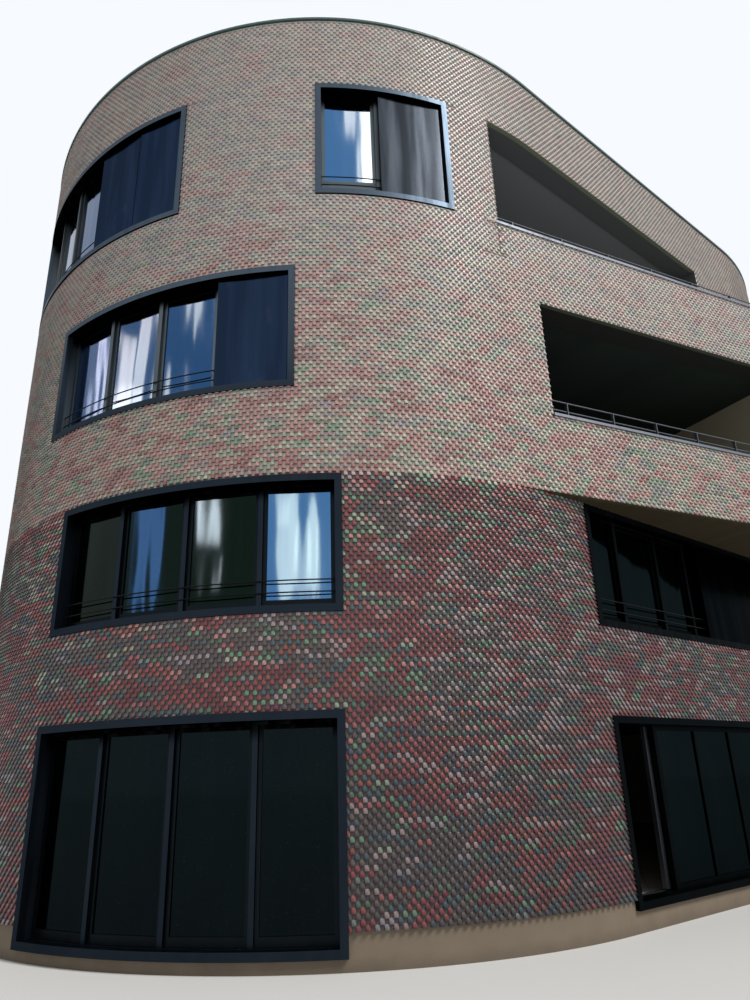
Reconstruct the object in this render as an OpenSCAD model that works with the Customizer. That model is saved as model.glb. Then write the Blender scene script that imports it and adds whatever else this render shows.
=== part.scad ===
// Four-storey apartment block on a rounded, three-cornered plan.
// Straight walls join equal round corners, all drawn from the corners' centres.
// The third storey turns out of the front corner's arc earlier than the rest,
// so it swings out over the right-hand side as a wedge-shaped bay.
// The top storey keeps to the plan of the lower two, and the bay's top is its terrace.
// The origin is the centre of the front corner's arc, on the ground, and the
// round nose points towards -Y.

/* [Plan] */
// Radius of every round corner, to the face of the tiles
corner_r = 5590; // [5300:10:6800]
// Length of each long side, between the ends of its two arcs
side_len = 6870; // [6600:10:8400]
// Heading of the right-hand side, from the X axis (degrees)
side_heading = 55; // [51:1:60]
// Heading of the bay's outer side, from the X axis (degrees)
bay_heading = 41; // [38:1:45]
// Depth of the tile cladding in front of the wall
tile_depth = 30; // [25:5:60]
// Thickness of the outer wall behind the tiles
wall_t = 400; // [340:10:500]
// Distance that the plinth stands back from the wall
plinth_set = 25; // [0:5:60]

/* [Levels above the ground] */
// Top of the rendered plinth, where the tiles begin
plinth_top = 340; // [280:10:500]
// Finished floor of the ground storey
floor_0 = 270; // [200:10:300]
// Finished floor of the first upper storey
floor_1 = 2950; // [2800:10:3200]
// Underside of the overhanging bay
bay_underside = 5120; // [5100:10:5400]
// Finished floor of the second upper storey
floor_2 = 5750; // [5700:10:6000]
// Finished floor of the third upper storey
floor_3 = 8750; // [8600:10:9000]
// Top of the roof slab
roof_top = 12160; // [11900:10:12400]
// Top of the roof parapet, under its coping
parapet_top = 12660; // [12500:10:13000]
// Thickness of the floor slabs
slab_t = 280; // [200:10:330]
// Thickness of the gravel on the roof
gravel_t = 80; // [50:5:150]

/* [Window levels, sill and head] */
// Ground storey
ground_win = [120, 2400]; // [60:10:2600]
// Terrace door
door_win = [230, 2340]; // [200:10:2600]
// First upper storey
first_win = [3450, 5095]; // [3200:5:5200]
// Second upper storey
second_win = [6280, 8090]; // [6000:10:8300]
// Third upper storey
third_win = [9280, 11330]; // [9000:10:11600]

/* [Window build-up] */
// Width of a surround's face on the wall
surround_w = 85; // [60:5:120]
// Depth of a surround from the tile face into the wall
surround_d = 270; // [240:5:330]
// Distance from the tile face back to the face of the mullions and blind box
mullion_set = 130; // [120:5:140]
// Step behind which the outer sashes sit in their surround
rebate = 5; // [3:1:10]
// Width of a mullion between two sashes
mullion_w = 60; // [40:5:90]
// Height of the blind box under a surround's head
blind_h = 35; // [20:5:200]
// Distance from the tile face back to the sashes
sash_set = 170; // [145:5:175]
// Depth of the sashes
sash_d = 70; // [50:5:75]
// Width of a sash's stiles and top rail
stile_w = 45; // [35:5:90]
// Height of a sash's bottom rail
bottom_rail_h = 90; // [60:5:120]
// Height of a sash's bottom rail on the third storey
high_rail_h = 290; // [60:10:400]
// Thickness of the double glazing
glass_t = 30; // [20:2:40]
// Thickness of a sliding screen
screen_t = 30; // [20:2:30]
// Distance from the tile face back to the front of a screen
screen_set = 50; // [30:5:55]
// Gap at the edge of a screen that stands against a jamb or another screen
screen_play = 5; // [3:1:10]
// Diameter of the guard rods
rod_d = 16; // [10:1:20]
// Gap between the guard rods and the mullions behind them
rod_gap = 6; // [2:1:8]
// Heights of the two guard rods above the surround's sill
rod_rise = [165, 305]; // [40:5:400]

/* [Windows in the nose, as distances along the tile face from its middle] */
// Ground and first upper storey window
nose_low = [-1975, 1905]; // [-3000:5:3000]
// Mullions of that window
nose_low_mullions = [-997, -34, 929]; // [-3000:1:3000]
// Second upper storey window
nose_mid = [-2595, 1335]; // [-3000:5:3000]
// Mullions of that window
nose_mid_mullions = [-1555, -648, 260]; // [-3000:1:3000]
// Sliding screen of that window
nose_mid_screen = [279, 1234]; // [-3000:1:3000]
// Wide third upper storey window
nose_wide = [-4925, -395]; // [-4950:5:3000]
// Mullions of that window
nose_wide_mullions = [-4015, -3100, -2185, -1270]; // [-4950:5:3000]
// Sliding screens of that window
nose_wide_screens = [[-2175, -1290], [-1280, -485]]; // [-4950:5:3000]
// Narrow third upper storey window
nose_narrow = [1605, 3625]; // [1000:5:3700]
// Mullion of that window
nose_narrow_mullion = 2520; // [1800:5:3400]
// Sliding screen of that window
nose_narrow_screen = [2545, 3503]; // [1000:1:3700]

/* [Windows in the right-hand side, as distances from its start] */
// Start of the first storey window and of the terrace door
side_win_start = 60; // [60:10:300]
// Wall that is left beyond them, up to the end of the side
side_win_rest = 1570; // [1400:10:2000]
// Mullions of the first storey window
side_mullions = [895, 1925, 2750, 4000]; // [300:5:5000]
// Where the two sliding screens meet
screens_meet = 4000; // [3600:10:4400]
// Width of each of these screens
side_screen_w = 1000; // [800:10:1100]

/* [Unseen windows] */
// Width of the windows round the corners
corner_win_w = 3900; // [3000:10:4400]
// Width of the windows in the straight walls
plain_win_w = 2020; // [1400:10:2600]
// Distance from the start of the right-hand corner to the middle of its windows
right_win_at = 3900; // [3600:10:4200]

/* [Loggias] */
// Start of the bay's loggia, along the bay's side
loggia_start = 950; // [700:10:1300]
// Wall that is left beyond the bay's loggia, up to the end of the side
loggia_rest = 520; // [450:10:900]
// Sill and head of the bay's loggia opening
loggia_open_z = [6250, 8080]; // [6100:10:8300]
// Length of the terrace opening on the nose, before the side begins
terrace_lead = 990; // [600:10:1200]
// Wall that is left beyond the terrace opening, up to the end of the side
terrace_rest = 1620; // [1200:10:2000]
// Head of the terrace opening
terrace_head = 11330; // [11000:10:11500]
// Top of the tiled terrace parapet
terrace_wall_top = 9290; // [9000:10:9500]
// Thickness of the terrace parapet
terrace_wall_t = 250; // [150:10:350]
// Distance of the loggias' rear screens from the corner centre
loggia_back_r = 3500; // [3000:10:4200]
// Thickness of the loggias' end walls
loggia_wall_t = 180; // [120:10:250]
// Height of the loggias' ceilings above their openings' heads
ceiling_rise = 20; // [10:5:60]
// Thickness of the ceiling boards
ceiling_t = 40; // [20:5:60]
// Number of glazed bays in a rear screen
rear_bays = 5; // [3:1:7]
// Depth of a rear screen's frame
rear_frame_d = 80; // [60:5:120]
// Width of a rear screen's frame members
rear_frame_w = 100; // [60:5:140]

/* [Trim] */
// Thickness of the metal caps and copings
cap_t = 40; // [25:5:60]
// Overhang of the caps past the tile face
cap_lip = 5; // [0:1:10]
// Thickness of the soffit board under the bay
soffit_t = 20; // [10:2:30]
// Distance of the soffit board from the bay's tile face
soffit_inset = 50; // [45:5:90]
// Height of the bay railing's top tube above its cap
loggia_rail_h = 280; // [120:10:400]
// Height of the terrace railing's top tube above its cap
terrace_rail_h = 210; // [120:10:400]
// Diameter of the railings' tubes
rail_d = 20; // [16:1:30]
// Distance of the railings from the wall's face
rail_set = 120; // [60:10:140]
// Width and thickness of the railings' flat posts
rail_post = [50, 12]; // [8:1:60]
// Distance from the start of a railing to its first post
post_lead = 360; // [200:10:600]
// Distance between the posts of the bay's railing
loggia_post_pitch = 840; // [700:10:1200]
// Distance between the posts of the terrace's railing
terrace_post_pitch = 935; // [700:5:1200]
// Share of the bay's round end that the terrace's railing follows
rail_reach = 0.8; // [0.3:0.05:0.9]

/* [Terrace door] */
// Depth of the door's surround
door_d = 340; // [320:5:380]
// Width of the sliding leaf
leaf_w = 1115; // [1105:5:1160]
// Distance from the start of the side to the leaf's leading edge, as it stands open
leaf_at = 1090; // [600:5:1170]
// Thickness of the leaf
leaf_t = 60; // [50:5:70]
// Width of the leaf's stiles and rails
leaf_stile = 80; // [60:5:110]
// Gap between the leaf and the fixed parts around it
leaf_gap = 10; // [6:1:15]
// Start and width of the post that the leaf closes against
door_post = [1180, 80]; // [50:5:1300]
// Number of fixed panes
door_panes = 4; // [3:1:5]
// Width of the joints between the fixed panes
door_joint = 40; // [20:5:80]
// Height of the fixed panes' bottom and top rails
door_rail_h = 60; // [40:5:100]
// Diameter and width of the leaf's rollers
roller = [36, 10]; // [8:1:40]
// Diameter of the rollers' axles
axle_d = 12; // [8:1:16]
// Height of the track that the rollers run on
track_h = 3; // [2:0.5:5]

/* [Hidden] */

// Fragments that a full circle is drawn with, and the angle between an outline's points
arc_fn = 288;
rod_fn = 24;
arc_step = 1.25;
// Gap that parts on slanted or curved faces keep from what they sit against
seat_gap = 0.3;
// Distance that a cutting shape runs past the face it cuts
over = 50;

wall_r = corner_r - tile_depth;
inner_r = wall_r - wall_t;
plinth_r = wall_r - plinth_set;
seat_r = inner_r - seat_gap;
rear_len = 2 * side_len * cos(side_heading);
bay_turn = side_heading - bay_heading;

// Centres of the arcs: nose, right, left and bay
c_nose = [0, 0];
c_right = side_len * [cos(side_heading), sin(side_heading)];
c_left = [-c_right.x, c_right.y];
c_bay = side_len * [cos(bay_heading), sin(bay_heading)];
bay_back_heading = (side_heading + bay_heading) / 2 + 90;

// Stretches of wall, run round the plan anticlockwise, with r measured from the arcs' centres.
// An arc is [kind, centre, first normal, sweep]; a side is [kind, centre, heading, length].
nose = ["arc", c_nose, -90 - side_heading, 2 * side_heading];
side_r = ["side", c_nose, side_heading, side_len];
round_r = ["arc", c_right, side_heading - 90, 180 - side_heading];
rear = ["side", c_right, 180, rear_len];
round_l = ["arc", c_left, 90, 180 - side_heading];
side_l = ["side", c_left, -side_heading, side_len];
nose_mid_arc = ["arc", c_nose, -90 - side_heading, side_heading + bay_heading];
bay_side = ["side", c_nose, bay_heading, side_len];
bay_round = ["arc", c_bay, bay_heading - 90, bay_back_heading - bay_heading];
bay_rear = ["side", c_bay, bay_back_heading, norm(c_right - c_bay)];
round_r_mid = ["arc", c_right, bay_back_heading - 90, 180 - bay_back_heading];

// Angle of a distance along the tile face, in whole thousandths so that shared ends agree
function deg_of(u) = round(u / corner_r * 180000 / PI) / 1000;
function len_of(p) = p[0] == "arc" ? p[3] / 180 * PI * corner_r : p[3];
function polar(c, r, a) = c + r * [cos(a), sin(a)];
function side_point(p, s, r) = p[1] + s * [cos(p[2]), sin(p[2])] + r * [sin(p[2]), -cos(p[2])];
function arc_points(c, r, a0, sweep) =
    let (n = max(1, ceil(sweep / arc_step)))
    [for (i = [0:n]) polar(c, r, a0 + sweep * i / n)];
function along(plan, r) = [for (p = plan) if (p[0] == "arc") each arc_points(p[1], r, p[2], p[3])];
function main_outline(r) = along([nose, round_r, round_l], r);
function bay_outline(r) = along([nose_mid_arc, bay_round, round_r_mid, round_l], r);
function inset(v, d) = v + [d, -d];

// Part of a stretch: u along it, r out from the arcs' centres, z up
module strip(p, u, r, z) {
    translate([p[1].x, p[1].y, z[0]])
        if (p[0] == "arc")
            rotate(p[2] + deg_of(u[0]))
                rotate_extrude(angle = deg_of(u[1]) - deg_of(u[0]), $fn = arc_fn)
                    translate([r[0], 0])
                        square([r[1] - r[0], z[1] - z[0]]);
        else
            rotate(p[2])
                translate([u[0], -r[1], 0])
                    cube([u[1] - u[0], r[1] - r[0], z[1] - z[0]]);
}

// The same part with flat faces: on an arc, it stands on the chord between its ends
module flat_strip(p, u, r, z) {
    if (p[0] == "arc") {
        a = [for (v = u) p[2] + deg_of(v)];
        plate([polar(p[1], r[0], a[0]), polar(p[1], r[1], a[0]),
            polar(p[1], r[1], a[1]), polar(p[1], r[0], a[1])], z);
    }
    else
        strip(p, u, r, z);
}

module plate(points, z) {
    translate([0, 0, z[0]])
        linear_extrude(z[1] - z[0])
            polygon(points);
}

// Closed band of wall round a plan, between two outlines
module ring(outer, inner, z) {
    difference() {
        plate(outer, z);
        plate(inner, [z[0] - over, z[1] + over]);
    }
}

module tube(p, u, r, z, d) {
    translate([p[1].x, p[1].y, z])
        if (p[0] == "arc")
            rotate(p[2] + deg_of(u[0]))
                rotate_extrude(angle = deg_of(u[1]) - deg_of(u[0]), $fn = arc_fn)
                    translate([r, 0])
                        circle(d = d, $fn = rod_fn);
        else
            rotate(p[2])
                translate([u[0], -r, 0])
                    rotate([0, 90, 0])
                        cylinder(d = d, h = u[1] - u[0], $fn = rod_fn);
}

// Windows: [stretch, [start, end], [sill, head], mullion centres, screens]
nose_half = len_of(nose) / 2;
function on_nose(u) = [for (v = u) v + nose_half];
nose_wide_on = [for (s = nose_wide_screens) on_nose(s)];
side_low = [side_win_start, side_len - side_win_rest];
side_screens = [
    [screens_meet - side_screen_w, screens_meet - screen_play],
    [screens_meet + screen_play, screens_meet + side_screen_w]];

function span(middle, w) = [middle - w / 2, middle + w / 2];
function even_mullions(u, n) = [for (i = [1:n - 1]) u[0] + (u[1] - u[0]) * i / n];
function first_screen(u, n) = [[u[0] + surround_w + screen_play, u[0] + (u[1] - u[0]) / n]];
function plain_window(p, middle, w, z, n) =
    let (u = span(middle, w))
    [p, u, z, even_mullions(u, n), first_screen(u, n)];
function twin_windows(p, z) =
    [for (i = [1, 3]) plain_window(p, len_of(p) * i / 4, plain_win_w, z, 2)];
function unseen_windows(z) = concat(
    twin_windows(rear, z),
    twin_windows(side_l, z),
    [plain_window(round_l, len_of(round_l) / 2, corner_win_w, z, 4)]);

low_windows = concat(
    [for (z = [ground_win, first_win])
        [nose, on_nose(nose_low), z, on_nose(nose_low_mullions), []]],
    [[side_r, side_low, first_win, side_mullions, side_screens]],
    [for (z = [ground_win, first_win]) plain_window(round_r, right_win_at, corner_win_w, z, 4)],
    unseen_windows(ground_win),
    unseen_windows(first_win));
mid_windows = concat(
    [[nose_mid_arc, on_nose(nose_mid), second_win, on_nose(nose_mid_mullions), [on_nose(nose_mid_screen)]]],
    [plain_window(bay_round, len_of(bay_round) / 2, corner_win_w, second_win, 4)],
    unseen_windows(second_win));
top_windows = concat(
    [[nose, on_nose(nose_wide), third_win, on_nose(nose_wide_mullions), nose_wide_on],
     [nose, on_nose(nose_narrow), third_win, on_nose([nose_narrow_mullion]), [on_nose(nose_narrow_screen)]]],
    [plain_window(round_r, right_win_at, corner_win_w, third_win, 4)],
    unseen_windows(third_win));
windows = concat(low_windows, mid_windows, top_windows);

// Walls
cut_r = [inner_r - over, corner_r + over];

module wall(p, z, list) {
    difference() {
        strip(p, inset([0, len_of(p)], seat_gap), [inner_r, wall_r], [z[0] + seat_gap, z[1]]);
        for (w = list)
            if (w[0] == p)
                strip(p, w[1], cut_r, w[2]);
    }
}

module low_wall(p) {
    color([0.5, 0.24, 0.24])
        wall(p, [plinth_top, bay_underside], low_windows);
}

module mid_wall(p) {
    color([0.68, 0.5, 0.46])
        wall(p, [bay_underside, floor_3], mid_windows);
}

module top_wall(p) {
    color([0.74, 0.66, 0.6])
        wall(p, [floor_3, parapet_top], top_windows);
}

module wall_low_nose() { low_wall(nose); }
module wall_low_right() { low_wall(round_r); }
module wall_low_rear() { low_wall(rear); }
module wall_low_left() { low_wall(round_l); }
module wall_low_left_side() { low_wall(side_l); }
module wall_low_side() {
    difference() {
        low_wall(side_r);
        strip(side_r, side_low, cut_r, door_win);
    }
}

module wall_mid_nose() { mid_wall(nose_mid_arc); }
module wall_mid_rear() { mid_wall(rear); }
module wall_mid_left() { mid_wall(round_l); }
module wall_mid_left_side() { mid_wall(side_l); }
loggia_span = [loggia_start, side_len - loggia_rest];
module wall_mid_bay() {
    difference() {
        mid_wall(bay_side);
        strip(bay_side, loggia_span, cut_r, loggia_open_z);
    }
}
// Round end of the bay, and the wall that leads it back to the right-hand corner
module wall_mid_right() {
    mid_wall(bay_round);
    mid_wall(bay_rear);
    mid_wall(round_r_mid);
}

// The top storey's opening on to the terrace runs from the nose on to the side
terrace_start = len_of(nose) - terrace_lead;
terrace_end = side_len - terrace_rest;
terrace_cut_z = [floor_3 - over, terrace_head];
module wall_top_nose() {
    difference() {
        top_wall(nose);
        strip(nose, [terrace_start, len_of(nose) + over], cut_r, terrace_cut_z);
    }
}
module wall_top_side() {
    difference() {
        top_wall(side_r);
        strip(side_r, [-over, terrace_end], cut_r, terrace_cut_z);
    }
}
module wall_top_right() { top_wall(round_r); }
module wall_top_rear() { top_wall(rear); }
module wall_top_left() { top_wall(round_l); }
module wall_top_left_side() { top_wall(side_l); }

// Plinth, floors and roof
module plinth() {
    color([0.62, 0.55, 0.46])
        difference() {
            ring(main_outline(plinth_r), main_outline(inner_r), [0, plinth_top]);
            for (w = low_windows)
                strip(w[0], w[1], cut_r, w[2]);
            strip(side_r, side_low, cut_r, door_win);
        }
}

module slab(points, top, t) {
    color([0.6, 0.58, 0.55])
        plate(points, [top - t, top]);
}

module ground_slab() { slab(main_outline(seat_r), floor_0, floor_0); }
module slab_first() { slab(main_outline(seat_r), floor_1, slab_t); }
module slab_third() { slab(bay_outline(seat_r), floor_3, slab_t); }
module roof_slab() { slab(main_outline(seat_r), roof_top, slab_t); }
module slab_second() { slab(bay_outline(seat_r), floor_2, slab_t); }
// Wedge that deepens this floor outside the walls below, and closes the bay's underside
module bay_floor() {
    top = floor_2 - slab_t - seat_gap;
    difference() {
        slab(bay_outline(seat_r), top, top - bay_underside - seat_gap);
        plate(main_outline(inner_r + 2 * seat_gap), [bay_underside - over, floor_2]);
    }
}

module roof_gravel() {
    color([0.7, 0.69, 0.66])
        plate(main_outline(seat_r), [roof_top, roof_top + gravel_t]);
}

module bay_soffit() {
    color([0.55, 0.48, 0.38])
        difference() {
            plate(bay_outline(corner_r - soffit_inset), [bay_underside - soffit_t, bay_underside]);
            plate(main_outline(corner_r), [bay_underside - over, bay_underside + over]);
        }
}

// Band round the bay's edge, from the terrace opening's jamb to where the set-back wall cuts it
band_gap = 2;
terrace_jamb = side_heading - 90 - deg_of(terrace_lead);
// Angle of the gap beside that jamb
jamb_gap = deg_of(2 * seat_gap);
module terrace_band(r, z) {
    cut_z = inset(z, -over);
    difference() {
        ring(bay_outline(r[1]), bay_outline(r[0]), z);
        difference() {
            plate(main_outline(max(corner_r, r[1]) + band_gap), cut_z);
            plate([c_nose, polar(c_nose, 2 * corner_r, terrace_jamb + jamb_gap),
                side_point(side_r, terrace_end, 2 * corner_r), side_point(side_r, terrace_end, 0)],
                inset(cut_z, -over));
        }
    }
}

module terrace_parapet() {
    color([0.75, 0.62, 0.57])
        terrace_band([wall_r - terrace_wall_t, wall_r], [floor_3 + seat_gap, terrace_wall_top]);
}

terrace_cap_top = terrace_wall_top + cap_t;
module parapet_caps() {
    color([0.72, 0.74, 0.76]) {
        terrace_band([wall_r - terrace_wall_t - cap_lip, corner_r + cap_lip],
            [terrace_wall_top, terrace_cap_top]);
        strip(bay_side, loggia_span, [inner_r - cap_lip, corner_r + cap_lip],
            [loggia_open_z[0], loggia_open_z[0] + cap_t]);
    }
}

module roof_coping() {
    color([0.3, 0.38, 0.38])
        ring(main_outline(corner_r + cap_lip), main_outline(inner_r - cap_lip),
            [parapet_top + seat_gap, parapet_top + cap_t]);
}

// Loggia linings. Both loggias end at one rear plane, parallel to the right-hand side.
mid_ceiling = loggia_open_z[1] + ceiling_rise;
top_ceiling = terrace_head + ceiling_rise;
mid_room = [floor_2, floor_3 - slab_t];
top_room = [floor_3, roof_top - slab_t];
// Distance from the corner centre to the rear plane, square to the bay at s along it
function rear_r(s) = (loggia_back_r + seat_gap - s * sin(bay_turn)) / cos(bay_turn);
// Place on the rear plane, along the side, of that point
function rear_s(s) = s * cos(bay_turn) - rear_r(s) * sin(bay_turn);
function bay_lining(s0, s1) = [
    side_point(bay_side, s0, seat_r), side_point(bay_side, s1, seat_r),
    side_point(bay_side, s1, rear_r(s1)), side_point(bay_side, s0, rear_r(s0))
];

module loggia_walls() {
    color([0.3, 0.3, 0.29]) {
        plate(bay_lining(loggia_span[0] - loggia_wall_t, loggia_span[0]), mid_room);
        plate(bay_lining(loggia_span[1], loggia_span[1] + loggia_wall_t), mid_room);
        difference() {
            strip(nose, [terrace_start - loggia_wall_t, terrace_start], [loggia_back_r / 2, seat_r], top_room);
            strip(side_r, [-corner_r, corner_r], [-corner_r, loggia_back_r + seat_gap], inset(top_room, -over));
        }
        strip(side_r, [terrace_end, terrace_end + loggia_wall_t], [loggia_back_r, seat_r], top_room);
    }
}

module loggia_ceilings() {
    color([0.25, 0.26, 0.25]) {
        plate(bay_lining(loggia_span[0] + seat_gap, loggia_span[1] - seat_gap),
            [mid_ceiling, mid_ceiling + ceiling_t]);
        plate(concat(
            arc_points(c_nose, seat_r, terrace_jamb + jamb_gap, deg_of(terrace_lead) - jamb_gap),
            [side_point(side_r, terrace_end - seat_gap, seat_r),
             side_point(side_r, terrace_end - seat_gap, loggia_back_r + seat_gap),
             polar(c_nose, loggia_back_r / cos(deg_of(terrace_lead)) + seat_gap, terrace_jamb + jamb_gap)]),
            [top_ceiling, top_ceiling + ceiling_t]);
    }
}

// Rear screens: the visible span of each, its room and the height of its panes
rear_r2 = [loggia_back_r - rear_frame_d, loggia_back_r];
mid_rear_span = [rear_s(loggia_span[0]), rear_s(loggia_span[1])];
top_rear_span = [-loggia_back_r * tan(deg_of(terrace_lead)), terrace_end];
rear_screens = [[mid_rear_span, mid_room, mid_ceiling], [top_rear_span, top_room, top_ceiling]];
function rear_pane_u(s) =
    let (pitch = (s[1] - s[0] - rear_frame_w) / rear_bays)
    [for (i = [0:rear_bays - 1]) [s[0] + rear_frame_w + i * pitch, s[0] + (i + 1) * pitch]];
function rear_pane_z(q) = [q[1][0] + rear_frame_w, q[2] - rear_frame_w];

module loggia_screens() {
    color([0.2, 0.21, 0.22])
        for (q = rear_screens)
            difference() {
                strip(side_r, inset(q[0], -loggia_wall_t), rear_r2, q[1]);
                for (u = rear_pane_u(q[0]))
                    strip(side_r, u, inset(rear_r2, -over), rear_pane_z(q));
            }
}

module loggia_glass() {
    color([0.15, 0.18, 0.2, 0.6])
        for (q = rear_screens)
            for (u = rear_pane_u(q[0]))
                strip(side_r, u, span((rear_r2[0] + rear_r2[1]) / 2, glass_t), rear_pane_z(q));
}

// Windows
sash_r = [corner_r - sash_set - sash_d, corner_r - sash_set];
glass_r = span((sash_r[0] + sash_r[1]) / 2, glass_t);
pocket_r = [corner_r - mullion_set, corner_r + over];
function bays_of(u, mullions) =
    let (frame_w = surround_w + rebate,
         left = concat([u[0] + frame_w], [for (m = mullions) m + mullion_w / 2]),
         right = concat([for (m = mullions) m - mullion_w / 2], [u[1] - frame_w]))
    [for (i = [0:len(left) - 1]) [left[i], right[i]]];
function sash_z(z) = [z[0] + surround_w + rebate, z[1] - surround_w - blind_h];
function rail_under(z) = z == third_win ? high_rail_h : bottom_rail_h;
function pane_z(z) = [sash_z(z)[0] + rail_under(z), sash_z(z)[1] - stile_w];

// Surround with its mullions and blind box, left when the bays and the pocket are cut
module surround(p, u, z, mullions) {
    difference() {
        strip(p, inset(u, seat_gap), [corner_r - surround_d, corner_r], inset(z, seat_gap));
        strip(p, inset(u, surround_w), pocket_r, inset(z, surround_w));
        for (b = bays_of(u, mullions))
            strip(p, b, [corner_r - surround_d - over, corner_r + over], sash_z(z));
    }
}

module window_surrounds() {
    color([0.17, 0.2, 0.24])
        for (w = windows)
            surround(w[0], w[1], w[2], w[3]);
}

module window_sashes() {
    color([0.14, 0.16, 0.19])
        for (w = windows)
            for (b = bays_of(w[1], w[3]))
                difference() {
                    flat_strip(w[0], inset(b, seat_gap), sash_r, inset(sash_z(w[2]), seat_gap));
                    flat_strip(w[0], inset(b, stile_w), inset(sash_r, -over), pane_z(w[2]));
                }
}

module window_glass() {
    color([0.2, 0.26, 0.32, 0.5])
        for (w = windows)
            for (b = bays_of(w[1], w[3]))
                flat_strip(w[0], inset(b, stile_w + seat_gap), glass_r, inset(pane_z(w[2]), seat_gap));
}

module sliding_screens() {
    color([0.2, 0.22, 0.26])
        for (w = windows)
            for (s = w[4])
                flat_strip(w[0], s, [corner_r - screen_set - screen_t, corner_r - screen_set],
                    inset(w[2], surround_w + seat_gap));
}

rod_r = corner_r - mullion_set + rod_gap + rod_d / 2;
module guard_rods() {
    color([0.12, 0.13, 0.15])
        for (w = windows)
            if (w[2][0] > plinth_top)
                for (h = rod_rise)
                    tube(w[0], inset(w[1], surround_w), rod_r, w[2][0] + surround_w + h, rod_d);
}

// Low railings on the caps of the loggia and of the terrace. The terrace's ends
// round the bay's corner, where the terrace has narrowed to the parapet's thickness.
rail_r = wall_r - rail_set;
terrace_rail_end = len_of(bay_round) * rail_reach;
terrace_rail_start = rail_r * tan(bay_turn - deg_of(terrace_lead) + jamb_gap);
module railing(p, u, base, rail_h, pitch) {
    for (s = [u[0] + post_lead:pitch:u[1] - rail_post[0]])
        strip(p, span(s, rail_post[1]), span(rail_r, rail_post[0]), [base, base + rail_h - rail_d / 4]);
    for (h = [rail_h / 2, rail_h])
        tube(p, u, rail_r, base + h, rail_d);
}

module loggia_railings() {
    color([0.5, 0.53, 0.55]) {
        railing(bay_side, loggia_span, loggia_open_z[0] + cap_t, loggia_rail_h, loggia_post_pitch);
        railing(bay_side, [terrace_rail_start, side_len - seat_gap], terrace_cap_top, terrace_rail_h,
            terrace_post_pitch);
        railing(bay_round, [seat_gap, terrace_rail_end], terrace_cap_top, terrace_rail_h,
            terrace_post_pitch);
    }
}

// Terrace door: a fixed glazed front, and one leaf that slides behind it
door_inner = inset(side_low, surround_w);
door_z = inset(door_win, surround_w);
door_post_end = door_post[0] + door_post[1];
leaf_r = [sash_r[0] - leaf_gap - leaf_t, sash_r[0] - leaf_gap];
leaf_mid_r = (leaf_r[0] + leaf_r[1]) / 2;
leaf_u = [leaf_at, leaf_at + leaf_w];
leaf_z = inset(door_z, leaf_gap);
fixed_z = inset(door_z, door_rail_h);
pane_pitch = (door_inner[1] - door_post_end) / door_panes;
fixed_panes = [for (i = [0:door_panes - 1])
    [door_post_end + i * pane_pitch, door_post_end + (i + 1) * pane_pitch - door_joint]];

module door_surround() {
    color([0.17, 0.2, 0.24])
        difference() {
            strip(side_r, inset(side_low, seat_gap), [corner_r - door_d, corner_r], inset(door_win, seat_gap));
            strip(side_r, door_inner, [corner_r - door_d - over, corner_r + over], door_z);
        }
}

module door_fixed_frame() {
    color([0.14, 0.16, 0.19])
        difference() {
            strip(side_r, [door_post[0], door_inner[1]], sash_r, door_z);
            for (b = fixed_panes)
                strip(side_r, b, inset(sash_r, -over), fixed_z);
        }
}

module door_fixed_glass() {
    color([0.2, 0.26, 0.3, 0.5])
        for (b = fixed_panes)
            strip(side_r, b, glass_r, fixed_z);
}

module door_track() {
    color([0.6, 0.62, 0.63])
        strip(side_r, door_inner, span(leaf_mid_r, roller[1]), [door_z[0], door_z[0] + track_h]);
}

// Rollers in the leaf's bottom rail, each in a slot that its axle bridges
roller_room = 4;
roller_z = door_z[0] + track_h + seat_gap + roller[0] / 2;
roller_s = inset(leaf_u, leaf_stile * 2);
slot_w = roller[1] + roller_room;
slot_l = roller[0] + 2 * roller_room;

module door_leaf() {
    color([0.55, 0.57, 0.6])
        difference() {
            strip(side_r, leaf_u, leaf_r, leaf_z);
            strip(side_r, inset(leaf_u, leaf_stile), inset(leaf_r, -over), inset(leaf_z, leaf_stile));
            for (s = roller_s)
                strip(side_r, span(s, slot_l), span(leaf_mid_r, slot_w),
                    [leaf_z[0] - over, roller_z + slot_l / 2]);
        }
}

module door_leaf_glass() {
    color([0.2, 0.26, 0.3, 0.5])
        strip(side_r, inset(leaf_u, leaf_stile), span(leaf_mid_r, glass_t), inset(leaf_z, leaf_stile));
}

module door_rollers() {
    color([0.4, 0.4, 0.42])
        for (s = roller_s)
            rotate(side_heading)
                translate([s, -leaf_mid_r, roller_z])
                    rotate([90, 0, 0]) {
                        cylinder(d = roller[0], h = roller[1], $fn = rod_fn, center = true);
                        cylinder(d = axle_d, h = slot_w, $fn = rod_fn, center = true);
                    }
}

plinth();
ground_slab();
slab_first();
slab_second();
bay_floor();
slab_third();
roof_slab();
roof_gravel();
wall_low_nose();
wall_low_side();
wall_low_right();
wall_low_rear();
wall_low_left();
wall_low_left_side();
wall_mid_nose();
wall_mid_bay();
wall_mid_right();
wall_mid_rear();
wall_mid_left();
wall_mid_left_side();
wall_top_nose();
wall_top_side();
wall_top_right();
wall_top_rear();
wall_top_left();
wall_top_left_side();
bay_soffit();
terrace_parapet();
parapet_caps();
roof_coping();
loggia_walls();
loggia_ceilings();
loggia_screens();
loggia_glass();
window_surrounds();
window_sashes();
window_glass();
sliding_screens();
guard_rods();
loggia_railings();
door_surround();
door_fixed_frame();
door_fixed_glass();
door_track();
door_leaf();
door_leaf_glass();
door_rollers();
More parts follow.
